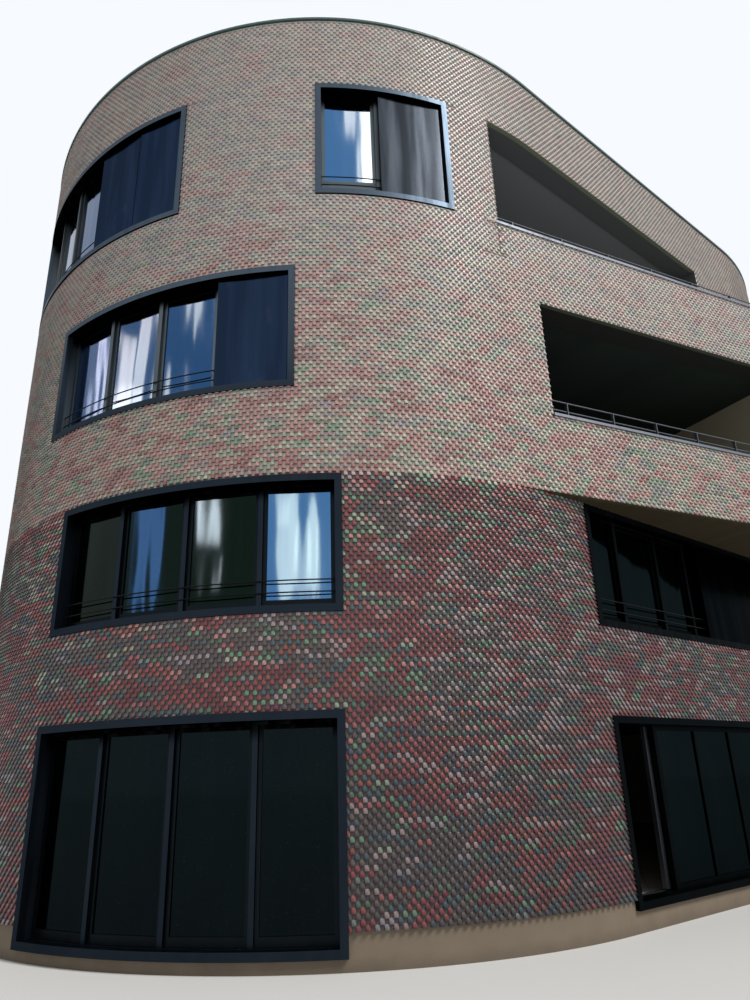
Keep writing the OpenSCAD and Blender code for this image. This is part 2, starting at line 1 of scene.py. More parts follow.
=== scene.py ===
# %% [markdown]
# # A rounded apartment block, clad in relief tiles
#
# The building was constructed as solid parts in another program, and it arrives here at real size,
# in metres, with the middle of its front corner's arc at the origin. This lesson gives it its looks:
# the camera and a plain studio first, then the tiles, which are far too many for construction but
# are what the eye sees first, then one finish after another, and last the glass and its lights.

import math
import bmesh
import bpy
import numpy as np
from mathutils import Matrix, Vector
from mathutils.bvhtree import BVHTree


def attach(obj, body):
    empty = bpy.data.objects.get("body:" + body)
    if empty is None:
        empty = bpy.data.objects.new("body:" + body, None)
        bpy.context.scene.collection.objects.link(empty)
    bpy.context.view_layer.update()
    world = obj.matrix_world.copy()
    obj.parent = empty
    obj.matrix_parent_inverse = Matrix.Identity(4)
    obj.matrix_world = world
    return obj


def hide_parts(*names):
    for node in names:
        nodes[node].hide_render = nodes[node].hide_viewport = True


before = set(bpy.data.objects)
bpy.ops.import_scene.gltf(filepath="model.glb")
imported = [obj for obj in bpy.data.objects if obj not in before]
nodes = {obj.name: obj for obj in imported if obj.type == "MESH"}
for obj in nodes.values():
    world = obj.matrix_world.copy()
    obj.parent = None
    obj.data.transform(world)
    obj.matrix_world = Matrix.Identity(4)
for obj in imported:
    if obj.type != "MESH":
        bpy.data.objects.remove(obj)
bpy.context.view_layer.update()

# %% [markdown]
# ## Camera
#
# The building is seen from eye height and close by, with the camera tilted up by almost a quarter of
# a right angle and turned a little sideways. The edges of the openings fix the place and the lens: a
# wide lens, 13 metres in front of the round corner. A camera turned by its own axes keeps all of
# that, where a camera aimed at a target would lose the sideways tilt.

# %% Camera
EYE = Vector((4.307, -12.947, 1.70))
AHEAD = Vector((-0.2568, 0.9665, 0.0))
ASIDE = Vector((0.9665, 0.2568, 0.0))
TILT_UP = math.radians(20.67)
ROLL = math.radians(-1.89)


def into_scene(thing):
    """Links an object into the scene and hands it back."""
    bpy.context.scene.collection.objects.link(thing)
    return thing


ahead = AHEAD * math.cos(TILT_UP) + Vector((0, 0, math.sin(TILT_UP)))
level_up = ASIDE.cross(ahead)
aside = ASIDE * math.cos(ROLL) + level_up * math.sin(ROLL)
up = aside.cross(ahead)

camera_data = bpy.data.cameras.new("camera")
camera_data.sensor_width = 36.0
camera_data.lens = 26.65
camera_data.clip_end = 500.0
camera = into_scene(bpy.data.objects.new("camera", camera_data))
camera.matrix_world = Matrix.Translation(EYE) @ Matrix((aside, up, -ahead)).transposed().to_4x4()
bpy.context.scene.camera = camera
bpy.context.scene.view_settings.view_transform = "Standard"
print("camera at", tuple(EYE), "lens", camera_data.lens)

# %% [markdown]
# ## Shader maths as plain expressions
#
# Every finish below is worked out from noise and position. Adding Math nodes one by one hides what
# is being calculated, so a small class wraps an output socket and lets Python's own signs add the
# nodes: `1 - mask` or `grain * 0.3` read as what they do. Any other kind of node comes from one
# method, which the sky's nodes use too.


# %% Sockets with signs
class Value:
    """The output of a node, which Python's signs can calculate with."""

    def __init__(self, graph, socket):
        self.graph = graph
        self.socket = socket

    def maths(self, operation, *values):
        return self.graph.node("Math", {"operation": operation}, dict(enumerate(values)))

    def __add__(self, other):
        return self.maths("ADD", self, other)

    def __radd__(self, other):
        return self.maths("ADD", other, self)

    def __sub__(self, other):
        return self.maths("SUBTRACT", self, other)

    def __rsub__(self, other):
        return self.maths("SUBTRACT", other, self)

    def __mul__(self, other):
        return self.maths("MULTIPLY", self, other)

    def __rmul__(self, other):
        return self.maths("MULTIPLY", other, self)

    def __truediv__(self, other):
        return self.maths("DIVIDE", self, other)

    def __rtruediv__(self, other):
        return self.maths("DIVIDE", other, self)


class Graph:
    """The nodes of a world or of a material."""

    def __init__(self, made_of):
        self.made_of = made_of

    def plug(self, socket, value):
        if isinstance(value, Value):
            self.made_of.links.new(value.socket, socket)
        else:
            socket.default_value = value

    def node(self, kind, settings=None, sockets=None, out=0):
        made = self.made_of.nodes.new("ShaderNode" + kind)
        for name, value in (settings or {}).items():
            setattr(made, name, value)
        for name, value in (sockets or {}).items():
            self.plug(made.inputs[name], value)
        return Value(self, made.outputs[out])


print("values can be added, subtracted, multiplied and divided, and any node can be made")

# %% [markdown]
# A finish is a material with one Principled shader. What is even over the surface is set on the
# shader's sockets when the finish is made, and what changes from place to place is plugged in
# afterwards. The patterns that many finishes need are methods: noise, a soft step between two
# values, a mixture of two colours, a relief.


# %% A finish
class Finish(Graph):
    """A material whose even values are set on its Principled shader, and whose uneven ones are nodes."""

    def __init__(self, name, **even):
        self.material = bpy.data.materials.new(name)
        self.material.use_nodes = True
        super().__init__(self.material.node_tree)
        self.shader = self.made_of.nodes["Principled BSDF"]
        for socket, value in even.items():
            self.shader.inputs[socket.replace("_", " ")].default_value = value

    def set(self, **uneven):
        for socket, value in uneven.items():
            self.plug(self.shader.inputs[socket.replace("_", " ")], value)

    def place(self):
        return self.node("TexCoord", out="Object")

    def part(self, vector, axis):
        return self.node("SeparateXYZ", sockets={0: vector}, out=axis)

    def vector(self, operation, first, second, out="Vector"):
        return self.node("VectorMath", {"operation": operation}, {0: first, 1: second}, out)

    def stretched(self, x, y, z):
        return self.vector("MULTIPLY", self.place(), (x, y, z))

    def noise(self, scale, detail=3.0, at=None):
        return self.node("TexNoise", None, {"Vector": at or self.place(), "Scale": scale, "Detail": detail})

    def between(self, value, low, high, start=0.0, end=1.0):
        return self.node("MapRange", {"interpolation_type": "SMOOTHSTEP"},
                         {"Value": value, 1: low, 2: high, 3: start, 4: end})

    def mix(self, share, first, second, blend="MIX"):
        return self.node("Mix", {"data_type": "RGBA", "blend_type": blend},
                         {0: share, 6: first, 7: second}, out=2)

    def relief(self, height, depth, strength=1.0):
        return self.node("Bump", None, {"Height": height, "Distance": depth, "Strength": strength})


print("a finish can:", [name for name in vars(Finish) if not name.startswith("_")])

# %% [markdown]
# Colours are written as they look on a screen, which is how a colour card gives them. Light adds up
# on another scale, the linear one, so each is converted before a shader gets it.


# %% Colours, and dressing the construction
def paint(code):
    """Linear colour of a six-figure screen colour."""
    shares = [int(code[i:i + 2], 16) / 255 for i in (0, 2, 4)]
    return tuple(c / 12.92 if c < 0.04045 else ((c + 0.055) / 1.055) ** 2.4 for c in shares) + (1.0,)


def linear(codes):
    """Rows of linear colours, for sums over many tiles."""
    return np.array([paint(code)[:3] for code in codes])


def dress(finish, *names):
    """Gives a finish to construction nodes, which keep their meshes."""
    for name in names:
        for slot in nodes[name].material_slots:
            slot.material = finish.material


print("red brick in linear light:", [round(c, 3) for c in paint("88402f")])

# %% [markdown]
# ## Studio
#
# The building stands on a wide pale floor under a pale sky, with nothing else around it. The sky is
# the world's own colour, because a backdrop would have to be larger than the building. A camera ray,
# or one that mirrors off metal or glass, sees it at full strength, as a plain pale background. The
# light that falls on the building from it is weaker, so that no pale tile burns out.

# %% Floor and sky
FLOOR_REACH = 150.0
AMBIENT = 0.58
SKY = (0.93, 0.96, 1.0, 1.0)

floor_corners = [(x * FLOOR_REACH, y * FLOOR_REACH, 0) for x, y in ((-1, -1), (1, -1), (1, 1), (-1, 1))]
floor_mesh = bpy.data.meshes.new("floor")
floor_mesh.from_pydata(floor_corners, [], [(0, 1, 2, 3)])
into_scene(bpy.data.objects.new("floor", floor_mesh))
floor_finish = Finish("floor_paint", Roughness=0.8)
floor_finish.set(Base_Color=floor_finish.mix(floor_finish.noise(0.4), paint("d9d7d3"), paint("dddcd9")))
floor_mesh.materials.append(floor_finish.material)

world = bpy.data.worlds.new("studio")
bpy.context.scene.world = world
world.use_nodes = True
sky = Graph(world.node_tree)
shown = sky.node("LightPath", out="Is Camera Ray")
for kind in ("Is Glossy Ray", "Is Transmission Ray"):
    shown = shown.maths("MAXIMUM", shown, sky.node("LightPath", out=kind))
strength = sky.node("MapRange", None, {"Value": shown, "To Min": AMBIENT, "To Max": 1.0})
background = world.node_tree.nodes["Background"]
sky.plug(background.inputs["Color"], SKY)
sky.plug(background.inputs["Strength"], strength)
print("floor", 2 * FLOOR_REACH, "m wide, ambient light", AMBIENT)

# %% [markdown]
# One large soft lamp stands high and to the right. It gives the tiles their little shadows, and
# leaves the walls right under the overhang in shade. A sun lamp lights every storey equally, where a
# lamp near by would light the top more than the foot.


# %% The high lamp
def lamp(name, kind, place, target, energy, colour=(1, 1, 1), **settings):
    """A lamp at a place, turned to a target."""
    data = bpy.data.lights.new(name, kind)
    data.energy = energy
    data.color = colour
    for key, value in settings.items():
        setattr(data, key, value)
    made = into_scene(bpy.data.objects.new(name, data))
    made.location = place
    made.rotation_euler = (Vector(target) - Vector(place)).to_track_quat("-Z", "Y").to_euler()
    return made


high_lamp = lamp("high_lamp", "SUN", (28.2, -10.3, 35), (0, 0, 4), 2.2, (1.0, 0.98, 0.96),
                 angle=math.radians(20))
print("high lamp turned by", [round(math.degrees(angle)) for angle in high_lamp.rotation_euler], "degrees")

# %% [markdown]
# ## The line that the tiles follow
#
# The plan is made of straight sides and round corners of one radius. The tiles run round it in
# level courses, so what they need is a function that turns a distance along the face and a height
# into a place. The third storey swings out from the front corner earlier than the others, so there
# are two such lines, equal up to the point where they part.

# %% Plan
CORNER_R = 5.59
TILE_DEPTH = 0.03
WALL_R = CORNER_R - TILE_DEPTH
SIDE = 6.87
HEADING = 55.0
BAY_HEADING = 41.0
PLINTH_TOP = 0.34
BAY_UNDERSIDE = 5.12
TERRACE_FLOOR = 8.75
TERRACE_WALL_TOP = 9.29
PARAPET_TOP = 12.66


def heading(angle):
    return np.array([math.cos(math.radians(angle)), math.sin(math.radians(angle))])


def corner(name, centre, start, end):
    """A round corner: its centre, and the headings of its first and last normals."""
    return (name, "corner", centre, start, end - start, math.radians(end - start) * CORNER_R)


def straight(name, centre, angle, length):
    """A straight side, which begins square to a corner's centre."""
    return (name, "straight", centre, angle, 0.0, length)


FRONT = np.zeros(2)
RIGHT = SIDE * heading(HEADING)
LEFT = RIGHT * [-1, 1]
BAY = SIDE * heading(BAY_HEADING)
RETURN_HEADING = (HEADING + BAY_HEADING) / 2 + 90

nose = corner("nose", FRONT, -90 - HEADING, BAY_HEADING - 90)
main_line = [
    nose,
    corner("nose_end", FRONT, BAY_HEADING - 90, HEADING - 90),
    straight("side", FRONT, HEADING, SIDE),
    corner("right_start", RIGHT, HEADING - 90, RETURN_HEADING - 90),
    corner("right", RIGHT, RETURN_HEADING - 90, 90),
    straight("rear", RIGHT, 180, 2 * RIGHT[0]),
    corner("left", LEFT, 90, 270 - HEADING),
    straight("left_side", LEFT, -HEADING, SIDE),
]
bay_line = [
    nose,
    straight("bay", FRONT, BAY_HEADING, SIDE),
    corner("bay_end", BAY, BAY_HEADING - 90, RETURN_HEADING - 90),
    straight("bay_return", BAY, RETURN_HEADING, float(np.linalg.norm(RIGHT - BAY))),
]
print(len(main_line), "stretches round the building,", len(bay_line), "round the bay")

# %% [markdown]
# Two things are asked of a line: which way the wall faces at a distance along it, and where a point
# in front of the wall lies. Both are asked for many distances at once, because Python is slow in
# loops and quick with arrays.


# %% From a distance along a line to a place
def starts(line):
    """Distances at which the stretches of a line begin, and where the last one ends."""
    return np.concatenate([[0.0], np.cumsum([part[5] for part in line])])


def outward(line, s):
    """Centre and unit normal of the wall at each distance s along a line, and the stretch it is in."""
    first = starts(line)
    which = np.clip(np.searchsorted(first, s, side="right") - 1, 0, len(line) - 1)
    centres = np.zeros((len(s), 2))
    normals = np.zeros((len(s), 2))
    for i, (name, kind, centre, angle, sweep, length) in enumerate(line):
        here = which == i
        along = s[here] - first[i]
        if kind == "corner":
            turn = np.radians(angle + sweep * along / length)
            centres[here] = centre
            normals[here] = np.stack([np.cos(turn), np.sin(turn)], 1)
        else:
            centres[here] = centre + along[:, None] * heading(angle)
            normals[here] = heading(angle - 90)
    return centres, normals, which


def place(line, s, r, z):
    """Points at distance s along a line, r out from its corners' centres, z up."""
    s = np.asarray(s, float)
    centres, normals, which = outward(line, s)
    flat = centres + normals * np.broadcast_to(r, s.shape)[:, None]
    return np.column_stack([flat, np.broadcast_to(z, s.shape)])


main_length = starts(main_line)[-1]
nose_middle = math.radians(HEADING) * CORNER_R
right_from = starts(main_line)[[part[0] for part in main_line].index("right")]
bay_to = starts(bay_line)[-1]
print("round the main line:", round(main_length, 2), "m; the nose's middle at", round(nose_middle, 2), "m")

# %% [markdown]
# ## Tiles
#
# Each tile is a flat body with two wedges on its face. A wedge starts flush at its top edge and
# stands out by two and a half centimetres at its lower edge, and the wedges of one course stand over
# the gaps of the next, like a chequerboard. Modelling them is the only way that their shadows, their
# saw-tooth edge against the sky and the dark little undersides come out right, though the undersides
# and flanks are also painted darker, as painted shade; a bumpy material would look flat at the
# outline. There are over a hundred thousand, so they are calculated with arrays, as open wedges of
# six triangles whose backs are in the wall.
#
# A wedge is only set where there is wall behind it. The construction's own walls answer that, so no
# list of windows is needed: the nearest point of the walls is looked up for the wedge's corners.

# %% Where there is wall
COURSES = 237
COURSE = (PARAPET_TOP - PLINTH_TOP) / COURSES
PITCHES = 618
PITCH = main_length / PITCHES
HALF = PITCH / 2
NEAR = 0.004

tiled = [name for name in nodes if name.startswith("wall_")] + ["terrace_parapet"]
corners, faces = [], []
for name in tiled:
    mesh = nodes[name].data
    faces += [[len(corners) + v for v in face.vertices] for face in mesh.polygons]
    corners += [v.co.copy() for v in mesh.vertices]
walls = BVHTree.FromPolygons(corners, faces)


def on_wall(line, s, z):
    """Whether there is wall at each distance s and height z."""
    points = place(line, s, WALL_R, z)
    return np.array([walls.find_nearest(point, NEAR)[0] is not None for point in points.tolist()], bool)


print("course", round(COURSE * 1000, 1), "mm, pitch", round(PITCH * 1000, 1), "mm,", len(faces), "wall faces")

# %% [markdown]
# A tiler cuts the tiles that meet an opening. Where two neighbouring corners of a wedge have no wall
# behind them, that side moves in until it has: the way from a point on the wall to one beyond its
# edge is halved six times, which finds the edge to less than a millimetre.

# %% Cutting to the wall
INSIDE = 0.005
HALVINGS = 6


def last_on_wall(line, inside, outside):
    """Halves the way from points on the wall, rows of s and z, to points beyond its edge."""
    for _ in range(HALVINGS):
        middle = (inside + outside) / 2
        hit = on_wall(line, middle[:, 0], middle[:, 1])[:, None]
        inside = np.where(hit, middle, inside)
        outside = np.where(hit, outside, middle)
    return inside


def cut_to_wall(line, boxes):
    """Cuts rows of (s0, s1, z0, z1) to the wall. Says which are left, and which miss no single corner."""
    left, right = boxes[:, 0] + INSIDE, boxes[:, 1] - INSIDE
    low, high = boxes[:, 2] + INSIDE, boxes[:, 3] - INSIDE
    spots = ((left, low), (right, low), (left, high), (right, high))
    found = np.stack([on_wall(line, s, z) for s, z in spots], 1)
    middle_s, middle_z = (left + right) / 2, (low + high) / 2
    cuts = [
        ((0, 2), 0, (right, middle_z), (left, middle_z), 0),
        ((1, 3), 1, (left, middle_z), (right, middle_z), 0),
        ((0, 1), 2, (middle_s, high), (middle_s, low), 1),
        ((2, 3), 3, (middle_s, low), (middle_s, high), 1),
    ]
    boxes = boxes.copy()
    for missing, column, inside, outside, axis in cuts:
        rows = ~found[:, missing[0]] & ~found[:, missing[1]] & found.any(1)
        if rows.any():
            ends = last_on_wall(line, np.column_stack(inside)[rows], np.column_stack(outside)[rows])
            boxes[rows, column] = ends[:, axis]
    wide = (boxes[:, 1] - boxes[:, 0] > INSIDE) & (boxes[:, 3] - boxes[:, 2] > INSIDE)
    return boxes, found.any(1) & wide, found.sum(1) != 3


print("an edge is found to", round((HALF - 2 * INSIDE) * 1000 / 2 ** HALVINGS, 1), "mm")

# %% [markdown]
# The facade is tiled in fields: a line, the stretch of it, and the courses. The fields meet where
# the third storey parts from the others, and at the terrace. A tile is two pitches wide and one
# course high. Its flat body is dark clay on the low storeys, where the wall's own face will do.
# Above the bay's underside the bodies are pale, each a shade of its own, so there each tile also
# gets a thin plate with a joint round it.

# %% Fields of tiles
JOINT = 0.003
TERRACE_JAMB = math.radians(2 * HEADING) * CORNER_R - 0.99

bay_course = round((BAY_UNDERSIDE - PLINTH_TOP) / COURSE)
terrace_course = round((TERRACE_FLOOR - PLINTH_TOP) / COURSE)
band_course = math.ceil((TERRACE_WALL_TOP - PLINTH_TOP) / COURSE)
fields = [
    (main_line, 0.0, main_length, 0, bay_course),
    (bay_line, 0.0, bay_to, bay_course, terrace_course),
    (main_line, right_from, main_length, bay_course, terrace_course),
    (bay_line, TERRACE_JAMB, bay_to, terrace_course, band_course),
    (main_line, 0.0, main_length, terrace_course, COURSES),
]


def grid(s_from, s_to, k_from, k_to, step, width, shift_of):
    """Rows of (number along, course, s0, s1, z0, z1) for a field of equal cells."""
    rows = []
    for k in range(k_from, k_to):
        number = np.arange(math.floor(s_from / step) - 2, math.ceil(s_to / step) + 2)
        s0 = number * step + shift_of(k)
        inside = (s0 + width / 2 >= s_from) & (s0 + width / 2 < s_to)
        number, s0 = number[inside], s0[inside]
        z0 = np.full(len(s0), PLINTH_TOP + k * COURSE)
        rows.append(np.column_stack([number, np.full(len(s0), k), s0, s0 + width, z0, z0 + COURSE]))
    return np.concatenate(rows)


def wedge_shift(k):
    """Each course of wedges stands over the gaps of the one below."""
    return HALF * (k % 2)


def tile_shift(k):
    """A tile holds two wedges, and the tiles of a pair of courses are staggered by one pitch."""
    return HALF * (k % 2) - PITCH * ((k // 2) % 2)


wedges, plates = [], []
for line, s_from, s_to, k_from, k_to in fields:
    on_bay = float(line is bay_line)
    cells = grid(s_from, s_to, k_from, k_to, PITCH, HALF, wedge_shift)
    boxes, kept, whole = cut_to_wall(line, cells[:, 2:])
    wedges.append(np.column_stack([np.full(len(cells), on_bay), cells[:, :2], boxes])[kept])
    if k_to > bay_course:
        cells = grid(s_from, s_to, max(k_from, bay_course), k_to, 2 * PITCH, 2 * PITCH - JOINT, tile_shift)
        cells[:, 2] = np.maximum(cells[:, 2], s_from)
        cells[:, 3] = np.minimum(cells[:, 3], s_to)
        boxes, kept, whole = cut_to_wall(line, cells[:, 2:])
        plates.append(np.column_stack([np.full(len(cells), on_bay), cells[:, :2], boxes])[kept & whole])
wedges = np.concatenate(wedges)
plates = np.concatenate(plates)
print(len(wedges), "wedges,", len(plates), "plates")

# %% [markdown]
# ## Glazes
#
# The wedges of the low storeys are crimson, brick, grey and blue-green, with a few pale ones among
# them. Those of the bay and everything above it are rose, salmon, cream and soft green, and fade to
# pale pink-beige at the top. So each glaze is listed with the share it has at each of eight heights,
# two of them just below and just above the line where the colours change.

# %% Shares of the glazes by height
HEIGHTS = [0.34, 2.4, 5.11, 5.13, 6.6, 8.2, 9.6, 12.7]
GLAZES = [
    ("7a3550", [1, 1, 1, 0, 0, 0, 0, 0]),
    ("7c333c", [18, 15, 8, 0, 0, 0, 0, 0]),
    ("96464c", [17, 19, 17, 4, 3, 1, 0, 0]),
    ("98524a", [6, 7, 7, 2, 1, 0, 0, 0]),
    ("ac6264", [3, 6, 11, 8, 6, 4, 2, 0]),
    ("c08680", [0, 2, 9, 17, 15, 12, 7, 3]),
    ("c49a92", [0, 0, 2, 13, 15, 17, 18, 16]),
    ("a08486", [2, 2, 4, 6, 6, 7, 9, 10]),
    ("c4b4a2", [0, 0, 0, 9, 13, 17, 23, 28]),
    ("b6b6a2", [0, 0, 1, 13, 14, 15, 15, 16]),
    ("97a892", [0, 1, 3, 13, 11, 8, 5, 3]),
    ("70987a", [2, 5, 8, 6, 4, 2, 0, 0]),
    ("56745f", [5, 6, 6, 2, 1, 0, 0, 0]),
    ("465f68", [13, 10, 4, 1, 0, 0, 0, 0]),
    ("434c5a", [3, 2, 1, 0, 0, 0, 0, 0]),
    ("7b8884", [1, 1, 2, 5, 5, 5, 4, 3]),
    ("665c5b", [17, 15, 12, 0, 0, 0, 0, 0]),
    ("5a5152", [12, 10, 8, 0, 0, 0, 0, 0]),
    ("9c949c", [1, 1, 1, 3, 4, 6, 8, 11]),
]
SPARKS = [
    ("ac9698", [2.5, 3, 5, 0, 0, 0, 0, 0]),
    ("a3ae98", [0.6, 1.6, 4, 0, 0, 0, 0, 0]),
    ("b8a68e", [0.5, 0.5, 1, 0, 0, 0, 0, 0]),
]
BODIES = ["9a9389", "a09486", "909187", "9d8e88"]


def shares_at(table, z):
    """The shares of a table's colours at each height, one column a colour."""
    return np.stack([np.interp(z, HEIGHTS, weights) for code, weights in table], 1)


glaze_colours = linear(code for code, weights in GLAZES)
spark_colours = linear(code for code, weights in SPARKS)
body_colours = linear(BODIES)
body_mean = body_colours.mean(0)
print(len(GLAZES), "glazes, whose shares add up to", shares_at(GLAZES, HEIGHTS).sum(1))

# %% [markdown]
# Both wedges of a tile have one colour, and tiles of one colour lie in small loose flocks. So each
# tile draws a number from a mixture of smooth and coarse chance, and the number picks a glaze.
# Neighbours draw similar numbers, and so get similar glazes. A mixture has more numbers near its
# middle, so it is evened out first. On the low storeys the flocks are larger, and lone pale tiles
# are strewn over them in patches.

# %% Chance in flocks
SEED = 41
FIRST_TILE = 4
TILES_ROUND = PITCHES // 2 + 40

chance = np.random.default_rng(SEED)


def coarse_chance():
    """A number for each tile, with nothing to do with its neighbours'."""
    return chance.random((COURSES, TILES_ROUND))


def smooth_chance(step_s, step_z):
    """Chance that changes slowly: values on a coarse net, blended in between."""
    net = chance.random((int(COURSES / step_z) + 3, int(TILES_ROUND / step_s) + 3))
    z, x = np.meshgrid(np.arange(COURSES) / step_z, np.arange(TILES_ROUND) / step_s, indexing="ij")
    zi, xi = z.astype(int), x.astype(int)
    zf, xf = z - zi, x - xi
    zf, xf = zf * zf * (3 - 2 * zf), xf * xf * (3 - 2 * xf)
    low = net[zi, xi] * (1 - xf) + net[zi, xi + 1] * xf
    high = net[zi + 1, xi] * (1 - xf) + net[zi + 1, xi + 1] * xf
    return low * (1 - zf) + high * zf


def evened(values):
    """The same order of values, spread evenly from 0 to 1."""
    ranks = np.empty(values.size)
    ranks[np.argsort(values, axis=None)] = np.arange(values.size)
    return (ranks / values.size).reshape(values.shape)


flocks = evened(0.4 * smooth_chance(1.1, 3.0) + 0.22 * smooth_chance(3, 8) + 0.4 * coarse_chance())
lone = coarse_chance()
shade = 1 + 0.18 * (coarse_chance() - 0.5)
spark_pick = coarse_chance()
patches = smooth_chance(14, 22)
low_flocks = evened(0.5 * smooth_chance(1.5, 3.6) + 0.12 * smooth_chance(4, 9) + 0.34 * coarse_chance())
print("numbers drawn for", COURSES, "by", TILES_ROUND, "tiles")

# %% [markdown]
# Painted light and shade change the tiles too. The upper storeys on the sunny right-hand side are
# painted lighter, as painted sunlight, and their colours lie closer together. The walls under the bay
# see little of the sky, and their glazes are painted duller, as painted shade. Both are read off along
# the line and up the wall, which is simpler than lamps that would have to reach one side and no other.

# %% Painted sun and shade on the facade
HALF_WAY = main_length / 2
SUNNY = [nose_middle - 1.0, nose_middle + 4.5, HALF_WAY, HALF_WAY + 5.0]
UNDER_BAY = [nose_middle, nose_middle + 3.5, right_from, right_from + 3.0]
THERE = [0, 1, 1, 0]
# Lightness by height is partly the tiles' own colour and partly painted light, darker low down as painted
# shade.
GLAZE_LEVEL = [0.8, 0.97, 1.34, 1.15, 1.25, 1.3, 1.3, 1.3]
BODY_LEVEL = [1.0, 1.0, 1.0, 1.2, 1.35, 1.45, 1.6, 1.75]
SOFTER = [0.0, 0.0, 0.0, 0.22, 0.28, 0.36, 0.5, 0.62]
SOFTER_IN_SUN = 0.22
TOP_TINT = np.array([0.97, 1.0, 1.08])
PAINTED_SUNLIGHT = 0.44
PAINTED_SUNLIGHT_BODIES = 0.25
# Glazes under the bay are darkened by this factor, as painted shade.
SHADED = 0.64
MORE_SPARKS_IN_SHADE = 0.7
PINKER_SPARKS_IN_SHADE = 0.5


def below_bay(s, z):
    """1 on the low walls under the bay, 0 elsewhere."""
    return np.interp(s, UNDER_BAY, THERE) * (z < BAY_UNDERSIDE - COURSE)


def upper(z):
    """A tenth at the bay's underside, 1 from the terrace up."""
    return np.interp(z, [BAY_UNDERSIDE, TERRACE_WALL_TOP], [0.1, 1.0])


def sunny_side(s, z):
    """1 high on the sunny right-hand side, 0 on the others, less lower down."""
    return np.interp(s, SUNNY, THERE) * upper(z)


def lightness_and_painted_light(rows, levels, painted_sun):
    """Lightness by height, with painted sunlight high on the sunny side and painted shade below the bay."""
    z = rows[:, 5]
    middle = (rows[:, 3] + rows[:, 4]) / 2
    level = np.interp(z, HEIGHTS, levels) * (1 + painted_sun * sunny_side(middle, z))
    level *= 1 - (1 - SHADED) * below_bay(middle, z)
    return level[:, None] * (1 + upper(z)[:, None] * (TOP_TINT - 1))


print("sunny between", [round(float(s), 1) for s in SUNNY], "m")
print("under the bay between", [round(float(s), 1) for s in UNDER_BAY], "m")

# %% [markdown]
# Now each wedge and each plate can be given its colour. The number drawn is compared with the
# running sum of the shares at that height, so that a glaze with a large share is met more often.
# The plates are bare clay with a haze of their own tile's glaze, and no two pieces are quite alike.

# %% A colour for each wedge and plate
GLAZE_HAZE = 0.22


def sparks_of(tile, course, s, z):
    """Which tiles are lone pale ones, and the pale colour of each."""
    shares = shares_at(SPARKS, z) / 100
    under = below_bay(s, z)
    often = shares.sum(1) * 2 * patches[course, tile] * (1 + MORE_SPARKS_IN_SHADE * under)
    sums = np.cumsum(shares, 1) / np.maximum(shares.sum(1), 1e-6)[:, None]
    picked = spark_pick[course, tile] * (1 - PINKER_SPARKS_IN_SHADE * under)
    which = (picked[:, None] > sums).sum(1).clip(0, len(SPARKS) - 1)
    return lone[course, tile] < often, spark_colours[which]


def glaze_of(tile, course):
    """Linear colours of tiles, from their numbers along and up the wall."""
    z = PLINTH_TOP + (course + 0.5) * COURSE
    s = (tile - FIRST_TILE) * 2 * PITCH
    sums = np.cumsum(shares_at(GLAZES, z), 1)
    drawn = np.where(course < bay_course, low_flocks[course, tile], flocks[course, tile]) * sums[:, -1]
    colours = glaze_colours[(drawn[:, None] > sums).sum(1).clip(0, len(GLAZES) - 1)]
    lit, pale = sparks_of(tile, course, s, z)
    colours[lit] = pale[lit]
    softer = (np.interp(z, HEIGHTS, SOFTER) + SOFTER_IN_SUN * sunny_side(s, z))[:, None]
    return (colours * (1 - softer) + body_mean * softer) * shade[course, tile][:, None]


def uneven(count, spread):
    """Factors close to 1, in a column, for rows of colours."""
    return (1 + spread * (chance.random(count) - 0.5))[:, None]


course_of = wedges[:, 2].astype(int)
tile_of = (wedges[:, 1].astype(int) + (course_of // 2) % 2) // 2 + FIRST_TILE
glazes = glaze_of(tile_of, course_of) * uneven(len(wedges), 0.05)
glazes *= lightness_and_painted_light(wedges, GLAZE_LEVEL, PAINTED_SUNLIGHT)
own_glaze = glaze_of(plates[:, 1].astype(int) + FIRST_TILE, plates[:, 2].astype(int))
bare_clay = body_colours[chance.integers(0, len(BODIES), len(plates))]
body_shades = (1 - GLAZE_HAZE) * bare_clay + GLAZE_HAZE * own_glaze
body_shades *= lightness_and_painted_light(plates, BODY_LEVEL, PAINTED_SUNLIGHT_BODIES) * uneven(len(plates), 0.1)
print("mean glaze low", glazes[course_of < bay_course].mean(0).round(3),
      "high", glazes[course_of >= bay_course].mean(0).round(3))

# %% [markdown]
# ## The tiles' material
#
# The glaze is glass on clay, so it is smooth and a little glossy, with slight clouds in its colour.
# Nineteen glazes don't need nineteen materials: the colour is stored with each face of the mesh, and
# the material reads it there. The low and the high storeys have one each, because they are two slots
# of the record and can be repainted apart.


# %% Glazed clay
def clay(name):
    made = Finish(name, Coat_Roughness=0.12)
    glaze = made.node("Attribute", {"attribute_name": "glaze"}, out="Color")
    clouds = made.between(made.noise(9.0, 4.0), 0.3, 0.7)
    fine = made.between(made.noise(140.0, 2.0), 0.35, 0.65)
    tone = made.mix(clouds, (0.92, 0.92, 0.92, 1), (1.08, 1.08, 1.08, 1))
    tinted = made.mix(1.0, glaze, tone, "MULTIPLY")
    speckled = made.mix(fine * 0.12, tinted, (0.05, 0.045, 0.04, 1))
    made.set(Base_Color=speckled, Roughness=0.36 + clouds * 0.16, Coat_Weight=0.12 + fine * 0.1,
             Normal=made.relief(fine, 0.0006, 0.5))
    return made


clay_low = clay("tile_glaze_low")
clay_high = clay("tile_glaze_high")
print("glazed:", clay_low.material.name, clay_high.material.name)

# %% [markdown]
# ## Setting the tiles
#
# A mesh of this size is handed over as whole arrays: corners, then the loops round the faces, then a
# colour for each face. Adding faces one by one is far slower. A map of its own gives each tile a
# cell, so that colours can be baked without smearing from one to the next.


